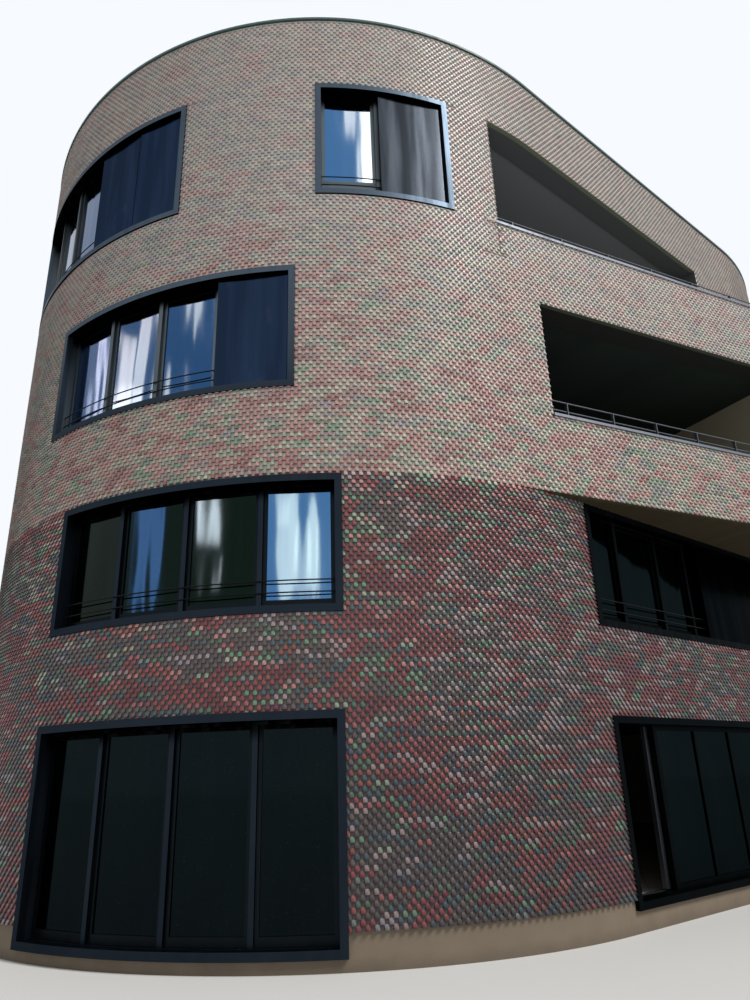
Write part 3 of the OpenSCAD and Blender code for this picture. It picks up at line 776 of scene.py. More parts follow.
# %% Meshes from arrays
def mesh_of(name, points, loops, lengths, face_colours, uv):
    """A mesh from its points, the loops round its faces and their lengths, colours and map."""
    mesh = bpy.data.meshes.new(name)
    mesh.vertices.add(len(points))
    mesh.vertices.foreach_set("co", points.ravel())
    mesh.loops.add(loops.size)
    mesh.loops.foreach_set("vertex_index", loops.ravel())
    mesh.polygons.add(len(lengths))
    mesh.polygons.foreach_set("loop_start", np.concatenate([[0], np.cumsum(lengths)[:-1]]))
    mesh.update(calc_edges=True)
    stored = mesh.attributes.new("glaze", "FLOAT_COLOR", "FACE")
    stored.data.foreach_set("color", np.column_stack([face_colours, np.ones(len(lengths))]).ravel())
    layer = mesh.uv_layers.new(name="OFBake")
    layer.data.foreach_set("uv", uv.ravel())
    return mesh


def cells_of(count, spots):
    """Lays one copy of a few map points into each cell of a square net."""
    cells = math.ceil(math.sqrt(count))
    x = (np.arange(count) % cells)[:, None]
    y = (np.arange(count) // cells)[:, None]
    return np.stack([(x + spots[None, :, 0]) / cells, (y + spots[None, :, 1]) / cells], 2)


print("five tiles on a map have cells", round(float(cells_of(5, np.array([[0.0, 0.0]]))[1, 0, 0]), 3), "wide")

# %% [markdown]
# A wedge has six corners: two at its top edge, two at its proud lower edge and two behind those, in
# the wall. Its glazed face, its lower face and its two flanks are two quadrilaterals and two
# triangles; a back and a top would never be seen. The flanks and the lower face are painted darker,
# as painted shade, most of all on the low storeys.

# %% Wedges
SUNK = 0.003
PROUD = 0.026
PLATE = 0.002
# Painted shade on the lower face and the flanks of the wedges, as factors by height.
UNDERSIDE_SHADE = [0.03, 0.03, 0.04, 0.18, 0.22, 0.32, 0.48, 0.6]
FLANK_SHADE = [0.12, 0.12, 0.15, 0.5, 0.55, 0.6, 0.65, 0.75]
WEDGE_FACES = ([[2, 3, 1, 0]], [[4, 5, 3, 2]], [[4, 2, 0]], [[3, 5, 1]])
FACE_SPOTS = [[0.08, 0.42], [0.92, 0.42], [0.92, 0.94], [0.08, 0.94]]
LOWER_SPOTS = [[0.08, 0.06], [0.42, 0.06], [0.42, 0.28], [0.08, 0.28]]
FLANK_SPOTS = [[0.55, 0.06], [0.92, 0.06], [0.92, 0.28]]


def wedge_mesh(name, line, rows, colours):
    s0, s1, z0, z1 = rows[:, 3], rows[:, 4], rows[:, 5], rows[:, 6]
    full_top = PLINTH_TOP + (rows[:, 2] + 1) * COURSE
    slope = (PROUD - PLATE) / COURSE
    r_low = WALL_R + PLATE + (full_top - z0) * slope
    r_high = WALL_R + PLATE + (full_top - z1) * slope
    back = WALL_R - SUNK
    spots = [
        place(line, s0, r_high, z1), place(line, s1, r_high, z1),
        place(line, s0, r_low, z0), place(line, s1, r_low, z0),
        place(line, s0, back, z0), place(line, s1, back, z0),
    ]
    count = len(rows)
    first = np.arange(count)[:, None] * len(spots)
    loops = np.concatenate([first + face for face in WEDGE_FACES], 1)
    # The lower face and the flanks are darkened, as painted shade.
    under = np.interp(full_top, HEIGHTS, UNDERSIDE_SHADE)[:, None]
    side = np.interp(full_top, HEIGHTS, FLANK_SHADE)[:, None]
    painted_shade_factors = np.concatenate([np.ones((count, 1)), under, side, side], 1)
    face_colours = (colours[:, None, :] * painted_shade_factors[:, :, None]).reshape(-1, 3)
    uv = cells_of(count, np.array(FACE_SPOTS + LOWER_SPOTS + FLANK_SPOTS + FLANK_SPOTS))
    points = np.stack(spots, 1).reshape(-1, 3)
    return mesh_of(name, points, loops, np.tile([4, 4, 3, 3], count), face_colours, uv)


print("a wedge stands out by", round(PROUD * 1000), "mm over", round(COURSE * 1000), "mm")

# %% [markdown]
# A plate is a single face just in front of the wall, level with the wedges' upper edges, and the
# wall shows between the plates as the joints. Each stretch of wall and each band of storeys becomes
# a piece of its own, because the building is tiled wall by wall, and because a mesh of moderate size
# is easier to handle.


# %% Plates, and the pieces of the cladding
def plate_mesh(name, line, rows, colours):
    s0, s1, z0, z1 = rows[:, 3], rows[:, 4], rows[:, 5] + JOINT / 2, rows[:, 6]
    r = WALL_R + PLATE
    spots = [place(line, s0, r, z0), place(line, s1, r, z0), place(line, s1, r, z1), place(line, s0, r, z1)]
    count = len(rows)
    loops = np.arange(count)[:, None] * len(spots) + [[0, 1, 2, 3]]
    uv = cells_of(count, np.array([[0.08, 0.08], [0.92, 0.08], [0.92, 0.92], [0.08, 0.92]]))
    return mesh_of(name, np.stack(spots, 1).reshape(-1, 3), loops, np.full(count, 4), colours, uv)


def set_tiles(kind, rows, colours, maker):
    """Makes one piece of each stretch of wall and storey band, and counts its triangles."""
    courses = rows[:, 2]
    band_of = np.where(courses < bay_course, "low", np.where(courses < terrace_course, "mid", "top"))
    middle = (rows[:, 3] + rows[:, 4]) / 2
    triangles = 0
    for line, chosen in ((main_line, rows[:, 0] == 0), (bay_line, rows[:, 0] == 1)):
        stretch = outward(line, middle)[2]
        for number, part in enumerate(line):
            for band in ("low", "mid", "top"):
                here = chosen & (stretch == number) & (band_of == band)
                if not here.any():
                    continue
                mesh = maker(f"{kind}_{band}_{part[0]}", line, rows[here], colours[here])
                mesh.materials.append((clay_low if band == "low" else clay_high).material)
                piece = into_scene(bpy.data.objects.new(mesh.name, mesh))
                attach(piece, "building")
                triangles += len(mesh.loops) - 2 * len(mesh.polygons)
    return triangles


print("wedges:", set_tiles("tiles", wedges, glazes, wedge_mesh), "triangles")
print("plates:", set_tiles("bodies", plates, body_shades, plate_mesh), "triangles")

# %% [markdown]
# ## Walls
#
# Between the wedges the tiles' flat bodies show, a dusty version of the glazes: dark below, pale
# above. The same construction solid has a plastered inner face, and faces that line its openings,
# which are painted nearly black, as painted shade, and less dark in the top storey. One material for
# each would need the mesh to be cut up, so one material tells them apart: by how far a face looks
# away from the middle of the plan. Over the openings the tiles' lower edge shows from below as a
# narrow greenish rim, and is found by how far out it lies.

# %% Telling the faces of a wall apart
PLAN_MIDDLE = (0.0, 4.5, 0.0)
LEVEL_ONLY = (1.0, 1.0, 0.0)


def height_of(finish):
    return finish.part(finish.place(), 2)


def upward(finish):
    """1 where a face looks up, -1 where it looks down."""
    return finish.part(finish.node("NewGeometry", out="Normal"), 2)


def from_axis(finish):
    """How far a point lies from the nose's upright axis."""
    return finish.node("VectorMath", {"operation": "LENGTH"}, {0: finish.stretched(*LEVEL_ONLY)}, out="Value")


def facing_out(finish):
    """1 where a face looks straight away from the middle of the plan, -1 where it looks towards it."""
    normal = finish.node("NewGeometry", out="Normal")
    offset = finish.vector("SUBTRACT", finish.stretched(*LEVEL_ONLY), PLAN_MIDDLE)
    away = finish.node("VectorMath", {"operation": "NORMALIZE"}, {0: offset})
    return finish.vector("DOT_PRODUCT", normal, away, out="Value")


def how_far_out(finish, towards):
    """How far out a point lies: from the nose's axis, or past the arc square to the side."""
    along_x, along_y = heading(towards)
    along = finish.vector("DOT_PRODUCT", finish.place(), (along_x, along_y, 0.0), out="Value")
    square = finish.vector("DOT_PRODUCT", finish.place(), (along_y, -along_x, 0.0), out="Value")
    past_arc = finish.between(along, -0.001, 0.001)
    return square * past_arc + from_axis(finish) * (1.0 - past_arc)


print("the wall's outer face lies", WALL_R, "m out, the line of the tiles", CORNER_R, "m")

# %% [markdown]
# The bodies' colour is mixed step by step, from the broad to the fine: one tone for the low storeys
# and one for the high, each paler higher up, with painted shade on the right-hand side low down, and
# specks over all.

# %% Tile bodies, linings of the openings and inner plaster
bodies = Finish("tile_bodies", Specular_IOR_Level=0.35)
height = height_of(bodies)
body_clouds = bodies.noise(1.3, 4.0)
body_specks = bodies.noise(60.0, 2.0)

low_body = bodies.mix(body_clouds, paint("484042"), paint("5a5051"))
low_body = bodies.mix(bodies.between(height, 1.5, 3.5) * 0.8, low_body, paint("746a68"))
# Painted shade on the low walls towards the right-hand side.
shaded_side = bodies.between(bodies.part(bodies.place(), 0), 1.0, 4.5)
low_body = bodies.mix(shaded_side * 0.4, low_body, paint("332c2c"))
high_body = bodies.mix(body_clouds, paint("6e665c"), paint("7e766a"))
high_body = bodies.mix(bodies.between(height, TERRACE_FLOOR - 0.5, TERRACE_FLOOR), high_body, paint("a39b91"))
above_line = bodies.between(height, BAY_UNDERSIDE - 0.02, BAY_UNDERSIDE + 0.02)
body = bodies.mix(above_line, low_body, high_body)
body = bodies.mix(body_specks * 0.3, body, paint("3a342e"))

plaster = bodies.mix(bodies.noise(3.0), paint("cbc8c0"), paint("d6d3cc"))
# The linings are nearly black as painted shade, less dark in the top storey.
lining = bodies.mix(bodies.noise(5.0), paint("0f1311"), paint("181c19"))
lining = bodies.mix(bodies.between(height, TERRACE_FLOOR, TERRACE_WALL_TOP), lining, paint("4a4d50"))
top_storey = bodies.between(height, TERRACE_WALL_TOP, TERRACE_WALL_TOP + 0.1)
far_out = how_far_out(bodies, HEADING) * top_storey + how_far_out(bodies, BAY_HEADING) * (1.0 - top_storey)
looks_down = bodies.between(upward(bodies), -0.9, -0.8, 1.0, 0.0)
rim_below = bodies.between(far_out, CORNER_R - 0.11, CORNER_R - 0.09) * looks_down
lining = bodies.mix(rim_below, lining, bodies.mix(top_storey, paint("42493c"), paint("6c745f")))

facing = facing_out(bodies)
shell = bodies.mix(bodies.between(facing, -0.7, -0.6), plaster, lining)
bodies.set(Base_Color=bodies.mix(bodies.between(facing, 0.6, 0.7), shell, body),
           Roughness=0.55 + body_specks * 0.25,
           Normal=bodies.relief(body_specks, 0.002, 0.4))
dress(bodies, *tiled)
print(len(tiled), "walls dressed, with", len(bodies.made_of.nodes), "shader nodes")

# %% [markdown]
# ## Render and concrete
#
# The plinth is rendered: sand grains under a mineral paint that rain splashes have dulled near the
# ground. The floors and the terrace deck are concrete slabs, laid in squares where they can be
# walked on. Both are noise of two sizes, a broad one for the tone and a fine one for the grain; the
# squares are a Brick texture without a stagger, which needs no joints in the mesh.

# %% Plinth and floors
SQUARE = 0.6

plinth = Finish("plinth_render", Specular_IOR_Level=0.3)
grains = plinth.noise(220.0, 2.0)
trowel = plinth.noise(3.2, 4.0)
splash = plinth.between(height_of(plinth) + trowel * 0.12, 0.04, 0.22, 1.0, 0.0)
coat = plinth.mix(trowel, paint("75695a"), paint("857868"))
coat = plinth.mix(grains * 0.4, coat, paint("5c5245"))
plinth.set(Base_Color=plinth.mix(splash * 0.45, coat, paint("4c453a")), Roughness=0.86 + grains * 0.1,
           Normal=plinth.relief(grains + trowel * 0.8, 0.0025, 0.6))
dress(plinth, "plinth")

concrete = Finish("fair_faced_concrete", Specular_IOR_Level=0.35)
cast = concrete.noise(1.7, 6.0)
pores = concrete.noise(90.0, 2.0)
squares = concrete.node("TexBrick", {"offset": 0.0, "squash": 1.0}, {
    "Vector": concrete.place(), "Scale": 1.0, "Brick Width": SQUARE, "Row Height": SQUARE,
    "Mortar Size": 0.006, "Mortar Smooth": 0.3, "Color1": (1, 1, 1, 1),
    "Color2": (0.9, 0.9, 0.9, 1), "Mortar": (0.45, 0.45, 0.45, 1)})
grey = concrete.mix(cast, paint("a9a49b"), paint("bdb8ae"))
grey = concrete.mix(concrete.between(pores, 0.62, 0.72) * 0.3, grey, paint("7d786f"))
concrete.set(Base_Color=concrete.mix(1.0, grey, squares, "MULTIPLY"), Roughness=0.7 + cast * 0.2,
             Normal=concrete.relief(pores, 0.001, 0.5))
dress(concrete, "ground_slab", "slab_first", "slab_second", "bay_floor", "slab_third", "roof_slab")
print("plinth and floors dressed, in squares of", SQUARE, "m")

# %% [markdown]
# ## Gravel
#
# Gravel keeps the roof membrane cool. Its stones are the cells of a Voronoi texture: the distance
# from a cell's middle gives each stone a round top and painted shade between it and the next, and
# the cell's own colour gives it a tone. Real stones, one by one, would never be seen from the ground.

# %% Gravel
STONES_PER_METRE = 26.0

gravel = Finish("round_gravel", Specular_IOR_Level=0.4)
stones = {"Vector": gravel.place(), "Scale": STONES_PER_METRE}
off_middle = gravel.node("TexVoronoi", {"feature": "F1"}, stones, out="Distance")
stone_colour = gravel.node("TexVoronoi", {"feature": "F1"}, stones, out="Color")
stone_tone = gravel.part(stone_colour, 0)
stone = gravel.mix(stone_tone, paint("8d887f"), paint("c2bdb2"))
warm = gravel.between(gravel.part(stone_colour, 1), 0.7, 0.8)
stone = gravel.mix(warm * 0.6, stone, paint("a08a72"))
# Painted shade in the gaps between the stones.
stone = gravel.mix(gravel.between(off_middle, 0.3, 0.62), stone, paint("3e3a34"))
damp = gravel.between(gravel.noise(0.5), 0.35, 0.7)
gravel.set(Base_Color=gravel.mix(damp * 0.25, stone, paint("6f6a60")),
           Roughness=0.75 + stone_tone * 0.15, Normal=gravel.relief(1 - off_middle, 0.02, 0.9))
dress(gravel, "roof_gravel")
print("gravel of", round(1000 / STONES_PER_METRE), "mm dressed")

# %% [markdown]
# ## Boards
#
# The overhang's soffit and the loggias are lined with painted boards. A board is a strip, so the
# distance across the strips, divided by their width, gives each its number, from which comes its
# tone, and the way to its edge, from which comes the joint. The soffit's brown is darkened as painted
# shade, and the lower loggia's linings and ceilings are nearly black, as painted shade. In the top
# loggia the colour is paler, and where a lining faces back along the side it catches the light and
# is paler still, as a painted highlight.

# %% Boards
BOARD_JOINT = 0.006
JOINT_BLACK = (0.005, 0.005, 0.005, 1)


def boards(name, dark, light, turn, width, joints=0.8, top=None, far=None):
    """Painted boards: strips of one width, turned by an angle, with narrow joints between."""
    made = Finish(name, Specular_IOR_Level=0.1)
    turned = (*heading(turn), 0.0)
    strip = made.vector("DOT_PRODUCT", made.place(), turned, out="Value") / width
    joint = made.between(strip.maths("PINGPONG", strip, 0.5), 0.0, BOARD_JOINT / width, 1.0, 0.0)
    number = strip.maths("FLOOR", strip)
    tone = made.node("TexWhiteNoise", {"noise_dimensions": "1D"}, {"W": number})
    brushed = made.noise(7.0, 5.0)
    coat = made.mix(brushed * 0.6 + tone * 0.4, paint(dark), paint(light))
    if top:
        coat = made.mix(made.between(height_of(made), TERRACE_FLOOR, TERRACE_WALL_TOP), coat, paint(top))
    if far:
        looking = made.vector("DOT_PRODUCT", made.node("NewGeometry", out="Normal"), turned, out="Value")
        coat = made.mix(made.between(looking, -0.95, -0.8, 1.0, 0.0), coat, paint(far))
    made.set(Base_Color=made.mix(joint * joints, coat, JOINT_BLACK),
             Roughness=0.6 + brushed * 0.2, Normal=made.relief(brushed * 0.1 - joint * joints, 0.003, 0.6))
    return made


# Painted shade darkens the soffit and the lower loggia; the far-facing linings carry a painted highlight.
dress(boards("soffit_boards", "352f21", "443c2b", BAY_HEADING, 0.24), "bay_soffit")
dress(boards("lining_boards", "161a17", "202420", BAY_HEADING, 0.18, top="36383a", far="8c8672"),
      "loggia_walls")
dress(boards("ceiling_paint", "1e2522", "28302c", HEADING, 0.6, joints=0.1, top="6e7276"),
      "loggia_ceilings")
print("boards dressed")

# %% [markdown]
# ## Metalwork
#
# Frames and sashes are aluminium with a satin powder coat, which has a fine orange-peel surface and
# collects dust and rain marks in vertical streaks. Coated metal under a bright sky is mostly mirror,
# and looks different where it faces something else, which is painted into its colour: a bluer, lighter
# painted reflection high up, and painted shade, nearly black, under the bay, on every underside, and
# in the strip below each head where a blind rolls up. Each of those places is a mask, a small function
# that gives 1 there and 0 elsewhere.

# %% Places where metal looks different
HEADS = [2.4, 5.1, 8.1, 11.33]
STRIP_FROM = 0.32
STRIP_FULL = 0.14
JAMB_X = 3.93


def high_up(finish, rise):
    """Above the bay's underside, fully so from a rise above it."""
    return finish.between(height_of(finish), BAY_UNDERSIDE + 0.5, BAY_UNDERSIDE + rise)


def in_bay_shade(finish):
    """Below the bay, on the right-hand side."""
    below = finish.between(height_of(finish), BAY_UNDERSIDE - 0.1, BAY_UNDERSIDE, 1.0, 0.0)
    return finish.between(finish.part(finish.place(), 0), 3.9, 4.3) * below


def behind_face(finish):
    """Further in than the faces of the frames round the nose."""
    return finish.between(from_axis(finish), CORNER_R - 0.11, CORNER_R - 0.06, 1.0, 0.0)


def mullions_high_up(finish):
    """What is set back from the face of the frames, above the bay's underside."""
    return behind_face(finish) * finish.between(height_of(finish), BAY_UNDERSIDE, BAY_UNDERSIDE + 1)


def facing_down(finish):
    return finish.between(upward(finish), -0.7, -0.5, 1.0, 0.0)


def below_head(finish, head):
    """The strip of painted shade below the heads of one storey's windows."""
    height = height_of(finish)
    from_below = finish.between(height, head - STRIP_FROM, head - STRIP_FULL)
    up_to_head = finish.between(height, head, head + 0.01, 1.0, 0.0)
    return from_below * up_to_head * behind_face(finish)


def left_of_terrace(finish):
    return finish.between(finish.part(finish.place(), 0), JAMB_X - 0.02, JAMB_X, 1.0, 0.0)


print("heads of the windows at", HEADS, "m")

# %% [markdown]
# One helper makes all metal, because its kinds differ only in colour, gloss and the places where
# they change. The folded caps are bare sheet, paler than the frames, and the end of one that runs
# past the terrace's jamb is dusted in the tiles' colour. The coping is coated dark green-grey, and
# the railings are steel tube.

# %% Metal
DIRTY = 0.25
PEEL_SCALE = 420.0
PEEL_DEPTH = 0.0002
SATIN = {"Metallic": 1.0, "Specular_Tint": (0.5, 0.5, 0.5, 1)}


def metal(name, dark, light, dirt, rough, changes=(), **even):
    """Metal in two close tones, with dirt in streaks. A change is a mask, a colour and the mask's value."""
    made = Finish(name, **even)
    streak = made.between(made.noise(1.0, 5.0, made.stretched(9.0, 9.0, 0.7)), 0.45, 0.75)
    clouds = made.noise(1.6, 4.0)
    orange_peel = made.noise(PEEL_SCALE, 1.0)
    base = made.mix(clouds, paint(dark), paint(light))
    for mask, colour, *value in changes:
        base = made.mix(mask(made, *value), base, paint(colour))
    made.set(Base_Color=made.mix(streak * DIRTY, base, paint(dirt)),
             Roughness=rough + streak * 0.12 + clouds * 0.08,
             Normal=made.relief(orange_peel, PEEL_DEPTH, 0.35))
    return made


# Painted light on frames and sashes: a lighter, bluer painted reflection high up, and painted shade under the
# bay, on undersides and below the heads.
below_heads = [(below_head, "020203", head) for head in HEADS]
on_frames = [
    (high_up, "48535e", 3.0),
    (in_bay_shade, "14181a"),
    (mullions_high_up, "5a6266"),
    (facing_down, "030303"),
    *below_heads,
]
on_sashes = [(high_up, "5c6468", 1.5), (in_bay_shade, "0c0e0e"), (facing_down, "030303"), *below_heads]
on_caps = [(left_of_terrace, "6c6561")]

dress(metal("anthracite_frames", "1c232b", "262e37", "2e3338", 0.32, on_frames, **SATIN), "window_surrounds")
dress(metal("dark_sashes", "14191c", "1c2226", "262829", 0.35, on_sashes, **SATIN), "window_sashes")
# The door's metal is darker than the frames, as painted shade under the bay.
dress(metal("door_metal", "0c1012", "14181a", "1a1c1b", 0.35, **SATIN),
      "door_surround", "door_fixed_frame", "loggia_screens")
dress(metal("rod_metal", "08090b", "0e1012", "141414", 0.4, Specular_IOR_Level=0.1), "guard_rods")
dress(metal("folded_caps", "6e727c", "84888f", "5c5e60", 0.45, on_caps, **SATIN), "parapet_caps")
dress(metal("coated_coping", "2a4442", "385652", "4c524c", 0.4, Specular_IOR_Level=0.4), "roof_coping")
dress(metal("rail_tube", "50545a", "62666e", "484644", 0.42, Metallic=0.8), "loggia_railings")
dress(metal("leaf_coated", "50545a", "60646a", "484a4c", 0.34, **SATIN), "door_leaf")
dress(metal("running_steel", "7a7c80", "90949a", "4a4642", 0.3, Metallic=1.0), "door_track", "door_rollers")
print("metalwork dressed, its frames with", len(on_frames), "changes")

# %% [markdown]
# The sliding screens are smooth sheets, darker and glossier than the frames. What they mirror is
# painted into their colour: a painted reflection of the open sky round the nose, a lighter one of its
# brightest part at the top right, and painted shade below the bay. Rain leaves soft vertical marks on
# them.

# %% Sliding screens
screens = Finish("screen_sheet", **SATIN)
to_the_right = screens.part(screens.place(), 0)
screen_height = height_of(screens)
rain = screens.between(screens.noise(1.0, 3.0, screens.stretched(5.0, 5.0, 0.35)), 0.35, 0.7)
blotches = screens.between(screens.noise(1.0, 4.0, screens.stretched(4.0, 4.0, 1.6)), 0.6, 0.75)
low_down = screens.between(screen_height, BAY_UNDERSIDE, BAY_UNDERSIDE + 0.1, 1.0, 0.0)
top_row = screens.between(screen_height, TERRACE_FLOOR, TERRACE_WALL_TOP)
in_shade = screens.between(to_the_right, 4.3, 4.6) * low_down
in_glare = screens.between(to_the_right, 1.9, 2.2) * top_row
sheet = screens.mix(rain, paint("1c283b"), paint("243248"))
sheet = screens.mix(blotches * 0.3, sheet, paint("3c4458"))
# Painted shade below the bay, and a painted reflection of the bright sky at the top right.
sheet = screens.mix(in_shade, sheet, screens.mix(rain, paint("0a0d0f"), paint("0f1315")))
sheet = screens.mix(in_glare, sheet, screens.mix(rain, paint("2b2f34"), paint("3f444b")))
screens.set(Base_Color=sheet, Roughness=0.14 + rain * 0.06)
dress(screens, "sliding_screens")
print("screens dressed, with", len(screens.made_of.nodes), "shader nodes")

# %% [markdown]
# ## Glass
#
# By day a window is a dark mirror, and clear glass would only show an empty building behind it. The
# panes round the nose mirror the open sky, so their glass is a metallic mirror coloured blue, a
# painted reflection of the sky; the panes of the right-hand side face shade, and theirs is nearly
# black, a painted reflection of the shade, with a faint sheen. Slow waves in the surface break up
# what it mirrors.


# %% Kinds of glass
def wavy_glass(name, tint, waves, **even):
    made = Finish(name, **even)
    smear = made.noise(1.0, 4.0, made.stretched(2.3, 2.3, 0.8))
    dust = made.noise(55.0, 3.0)
    long_waves = made.noise(1.0, 1.0, made.stretched(3.1, 3.1, 0.45))
    base = made.mix(smear * 0.35, paint(tint[0]), paint(tint[1]))
    made.set(Base_Color=made.mix(made.between(dust, 0.6, 0.8) * 0.05, base, paint("8a8a86")),
             Roughness=0.04 + smear * 0.05,
             Normal=made.relief(long_waves, waves, 1.0))
    return made


# The two tones of each glass are a painted reflection of what its panes face.
glasses = {
    "panes_deep": wavy_glass("deep_sky_glass", ("284970", "30537c"), 0.006, Metallic=1.0),
    "panes_sky": wavy_glass("sky_glass", ("416d9b", "4b77a4"), 0.006, Metallic=1.0),
    "panes_dark": wavy_glass("dark_mirror_glass", ("101a15", "18241e"), 0.006, Metallic=1.0),
    "panes_side": wavy_glass("shaded_glass", ("10171a", "1a2422"), 0.004, **SATIN),
}
dress(glasses["panes_side"], "door_fixed_glass", "door_leaf_glass", "loggia_glass")
print(len(glasses), "kinds of glass")

# %% [markdown]
# Double glazing is never flat: the air between its sheets swells or shrinks with the weather and
# bends both by a millimetre or so, which is what pulls reflections into streaks. So each pane is
# remade with a slight swelling, in its own place and size. Those are measured on the construction. A
# node's solids are told apart by walking along their edges, and an upright sheet runs the way in
# which its corners are spread most.


# %% Measuring the constructed panes
def solids(name):
    """The solids of a construction node, each as an array of its corners."""
    held = bmesh.new()
    held.from_mesh(nodes[name].data)
    bmesh.ops.remove_doubles(held, verts=held.verts, dist=1e-5)
    left = set(held.verts)
    found = []
    while left:
        todo = [left.pop()]
        solid = []
        while todo:
            corner_here = todo.pop()
            solid.append(tuple(corner_here.co))
            for edge in corner_here.link_edges:
                other = edge.other_vert(corner_here)
                if other in left:
                    left.remove(other)
                    todo.append(other)
        found.append(np.array(solid))
    held.free()
    return sorted(found, key=lambda points: tuple(points.mean(0).round(3)))


def sheet_of(points):
    """Middle, direction along, outward normal, and half sizes of an upright flat solid."""
    centre = points[:, :2].mean(0)
    flat = points[:, :2] - centre
    along = np.linalg.svd(flat, full_matrices=False)[2][0]
    normal = np.array([along[1], -along[0]])
    if normal @ (centre - np.array(PLAN_MIDDLE[:2])) < 0:
        normal, along = -normal, -along
    middle = np.array([*centre, (points[:, 2].min() + points[:, 2].max()) / 2])
    half = [np.abs(flat @ along).max(), np.abs(flat @ normal).max(), np.ptp(points[:, 2]) / 2]
    return middle, np.array([*along, 0.0]), np.array([*normal, 0.0]), half


panes = [sheet_of(points) for points in solids("window_glass")]
widths = [2 * half[0] for middle, along, normal, half in panes]
print(len(panes), "panes,", round(min(widths), 2), "to", round(max(widths), 2), "m wide")

# %% [markdown]
# A swelled pane is two nets of points, front and back, with a rim between. The swelling is the
# product of two parabolas, one across and one up, so it is nothing at the edges and fullest in the
# middle. The edges lie a hair behind the constructed faces, which leaves room in the sash.

# %% A pane that swells a little
SWELL = 0.0012
EDGE_BACK = 0.0002
COLUMNS = 8
ROWS = 10


def net_of(made, pane, sign):
    """The points of a pane's front or back, row by row."""
    middle, along, normal, (wide, thick, tall) = pane
    net = []
    for j in range(ROWS + 1):
        for i in range(COLUMNS + 1):
            x, z = 2 * i / COLUMNS - 1, 2 * j / ROWS - 1
            bulge = SWELL * (1 - x * x) * (1 - z * z) - EDGE_BACK
            spot = middle + along * wide * x + normal * sign * (thick + bulge)
            net.append(made.verts.new(spot + np.array([0, 0, tall * z])))
    return net


def add_pane(made, pane):
    """Adds a pane to a mesh in the making: smooth faces, and a rim with sharp edges."""
    front, back = net_of(made, pane, 1), net_of(made, pane, -1)
    across = COLUMNS + 1
    for j in range(ROWS):
        for i in range(COLUMNS):
            a = j * across + i
            ring = [a, a + 1, a + across + 1, a + across]
            made.faces.new([front[k] for k in ring]).smooth = True
            made.faces.new([back[k] for k in ring[::-1]]).smooth = True
    rim = list(range(COLUMNS)) + [(j + 1) * across - 1 for j in range(ROWS)]
    rim += [ROWS * across + COLUMNS - i for i in range(COLUMNS)]
    rim += [(ROWS - j) * across for j in range(ROWS)]
    for a, b in zip(rim, rim[1:] + rim[:1]):
        face = made.faces.new([front[b], front[a], back[a], back[b]])
        for edge in face.edges:
            edge.smooth = False


print("a pane swells by", round((SWELL - EDGE_BACK) * 1000, 1), "mm")

# %% [markdown]
# Each pane gets the glass whose colour is a painted reflection of what it faces. The ground storey
# and the right-hand side under the bay face shade; the first floor round the nose is dark but for its
# last panes; higher up the blue of the sky is deep on the left and lighter on the right. The panes of
# one glass are one piece, which stands for the constructed ones. They are also put in a collection,
# for the lamps that follow.

# %% Panes in their frames
FIRST_SILL = 3.45
DARK_TO_X = 0.9
DEEP_TO_X = 1.0
side_out = np.array([*heading(HEADING - 90), 0.0])


def glass_for(pane):
    middle, along, normal, half = pane
    if middle[2] < FIRST_SILL or (normal @ side_out > 0.9999 and middle[2] < BAY_UNDERSIDE):
        return "panes_side"
    if middle[2] < BAY_UNDERSIDE:
        return "panes_dark" if middle[0] < DARK_TO_X else "panes_sky"
    return "panes_deep" if middle[0] < DEEP_TO_X else "panes_sky"


mirrors = bpy.data.collections.new("mirrors")
for name, finish in glasses.items():
    group = [pane for pane in panes if glass_for(pane) == name]
    made = bmesh.new()
    for pane in group:
        add_pane(made, pane)
    made.normal_update()
    mesh = bpy.data.meshes.new(name)
    made.to_mesh(mesh)
    made.free()
    mesh.materials.append(finish.material)
    piece = into_scene(bpy.data.objects.new(name, mesh))
    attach(piece, "building")
    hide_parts("window_glass")
    mirrors.objects.link(piece)
    print(name, len(group))

# %% [markdown]
# ## Soft boxes for the glass
#
# A mirror shows nothing where there is nothing to mirror. Tall soft boxes stand far behind the
# camera, each at the place that one pane throws back to the camera, and give the white streaks that
# tell the eye that this is glass. Light linking keeps them to the panes, so that tiles and frames
# get their light from the sky and the high lamp alone. The place is found as on a billiard table:
# the view ray is turned round the pane's normal and followed on. Blue glass tints what it mirrors,
# so a white streak takes an orange lamp.

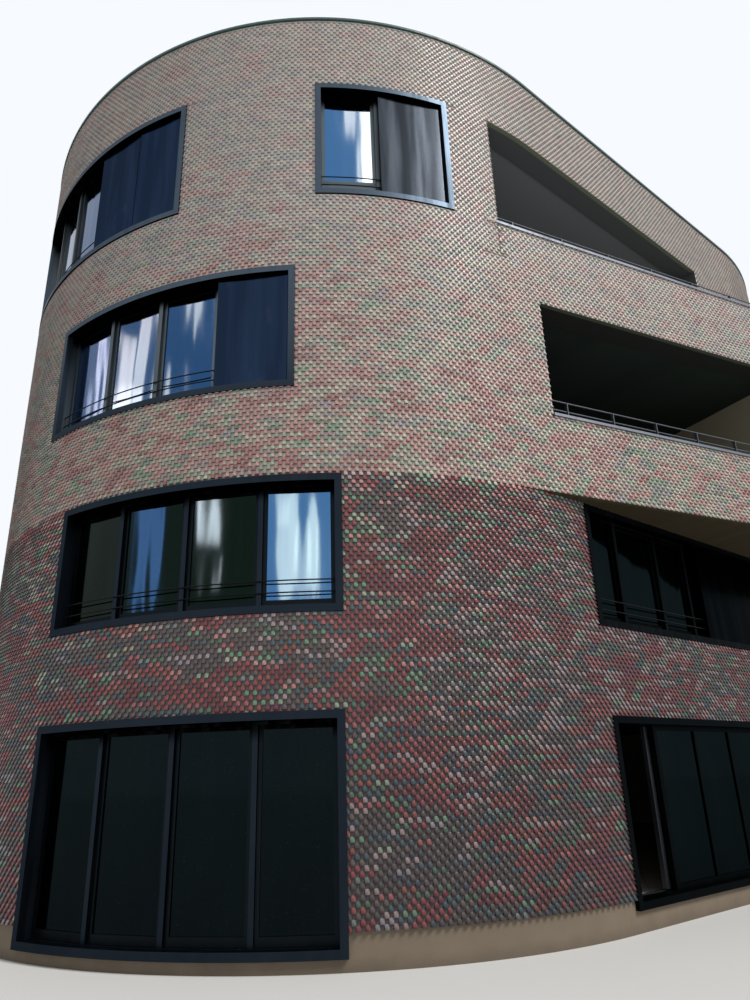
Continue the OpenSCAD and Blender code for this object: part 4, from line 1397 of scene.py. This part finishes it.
# %% Soft boxes
BOX_AWAY = 30.0
PANE_SET = 0.18
WHITE = (1.0, 0.37, 0.16)
LILAC = (1.0, 0.62, 0.45)
BLUE = (0.2, 0.3, 1.0)
PALE = (0.9, 0.38, 0.18)
GREY = (1.0, 0.62, 0.95)
HAZE = (1.0, 0.43, 0.18)
BOXES = [
    ("top_right_edge", 2.46, 2.11, 10.2, 1.3, 10.0, 17, WHITE),
    ("top_right_bulge", 2.33, 2.11, 9.9, 0.5, 3.6, 10, WHITE),
    ("top_right_drop", 2.10, 2.11, 11.0, 0.32, 2.4, 12, WHITE),
    ("third_first", -1.68, -2.05, 7.1, 0.5, 7.0, 10, LILAC),
    ("third_second_left", -1.36, -1.10, 6.7, 1.0, 6.4, 22, PALE),
    ("third_second_right", -0.86, -1.10, 7.1, 0.8, 7.0, 20, PALE),
    ("third_second_foot", -1.1, -1.10, 6.3, 2.4, 3.4, 14, PALE),
    ("third_third_drop", -0.13, -0.19, 7.85, 0.55, 4.0, 22, WHITE),
    ("third_third_foot", -0.58, -0.19, 6.5, 0.5, 3.4, 22, WHITE),
    ("third_third_low", -0.46, -0.19, 6.15, 1.4, 1.8, 20, WHITE),
    ("first_second_blue", -0.78, -0.47, 4.4, 1.1, 7.0, 26, BLUE),
    ("first_third_streak", 0.16, 0.45, 4.75, 0.45, 3.2, 130, GREY),
    ("first_third_low", 0.3, 0.45, 4.0, 0.16, 2.0, 90, GREY),
    ("first_fourth_middle", 1.36, 1.37, 4.3, 1.9, 6.6, 8, HAZE),
    ("first_fourth_right", 1.6, 1.37, 4.1, 1.0, 4.4, 5, HAZE),
    ("first_fourth_left", 1.15, 1.37, 4.9, 0.8, 3.4, 4, HAZE),
]


def soft_box(name, s, mirror_s, z, width, height, radiance, tint):
    """A lamp that a flat pane, square to the nose at mirror_s, shows to the camera at s and z."""
    spot = Vector(place(main_line, [nose_middle + s], CORNER_R - PANE_SET, z)[0])
    normal = Vector((*outward(main_line, np.array([nose_middle + mirror_s]))[1][0], 0.0))
    view = (spot - EYE).normalized()
    mirrored = view - 2 * view.dot(normal) * normal
    watts = radiance * math.pi * math.pi / 4 * width * height
    made = lamp(name, "AREA", spot + mirrored * BOX_AWAY, spot, watts, tint,
                shape="ELLIPSE", size=width, size_y=height)
    made.light_linking.receiver_collection = mirrors
    made.visible_camera = False


for box_here in BOXES:
    soft_box(*box_here)
print(len(BOXES), "soft boxes")

# %% [markdown]
# The finished model has to stay inside the construction's box.
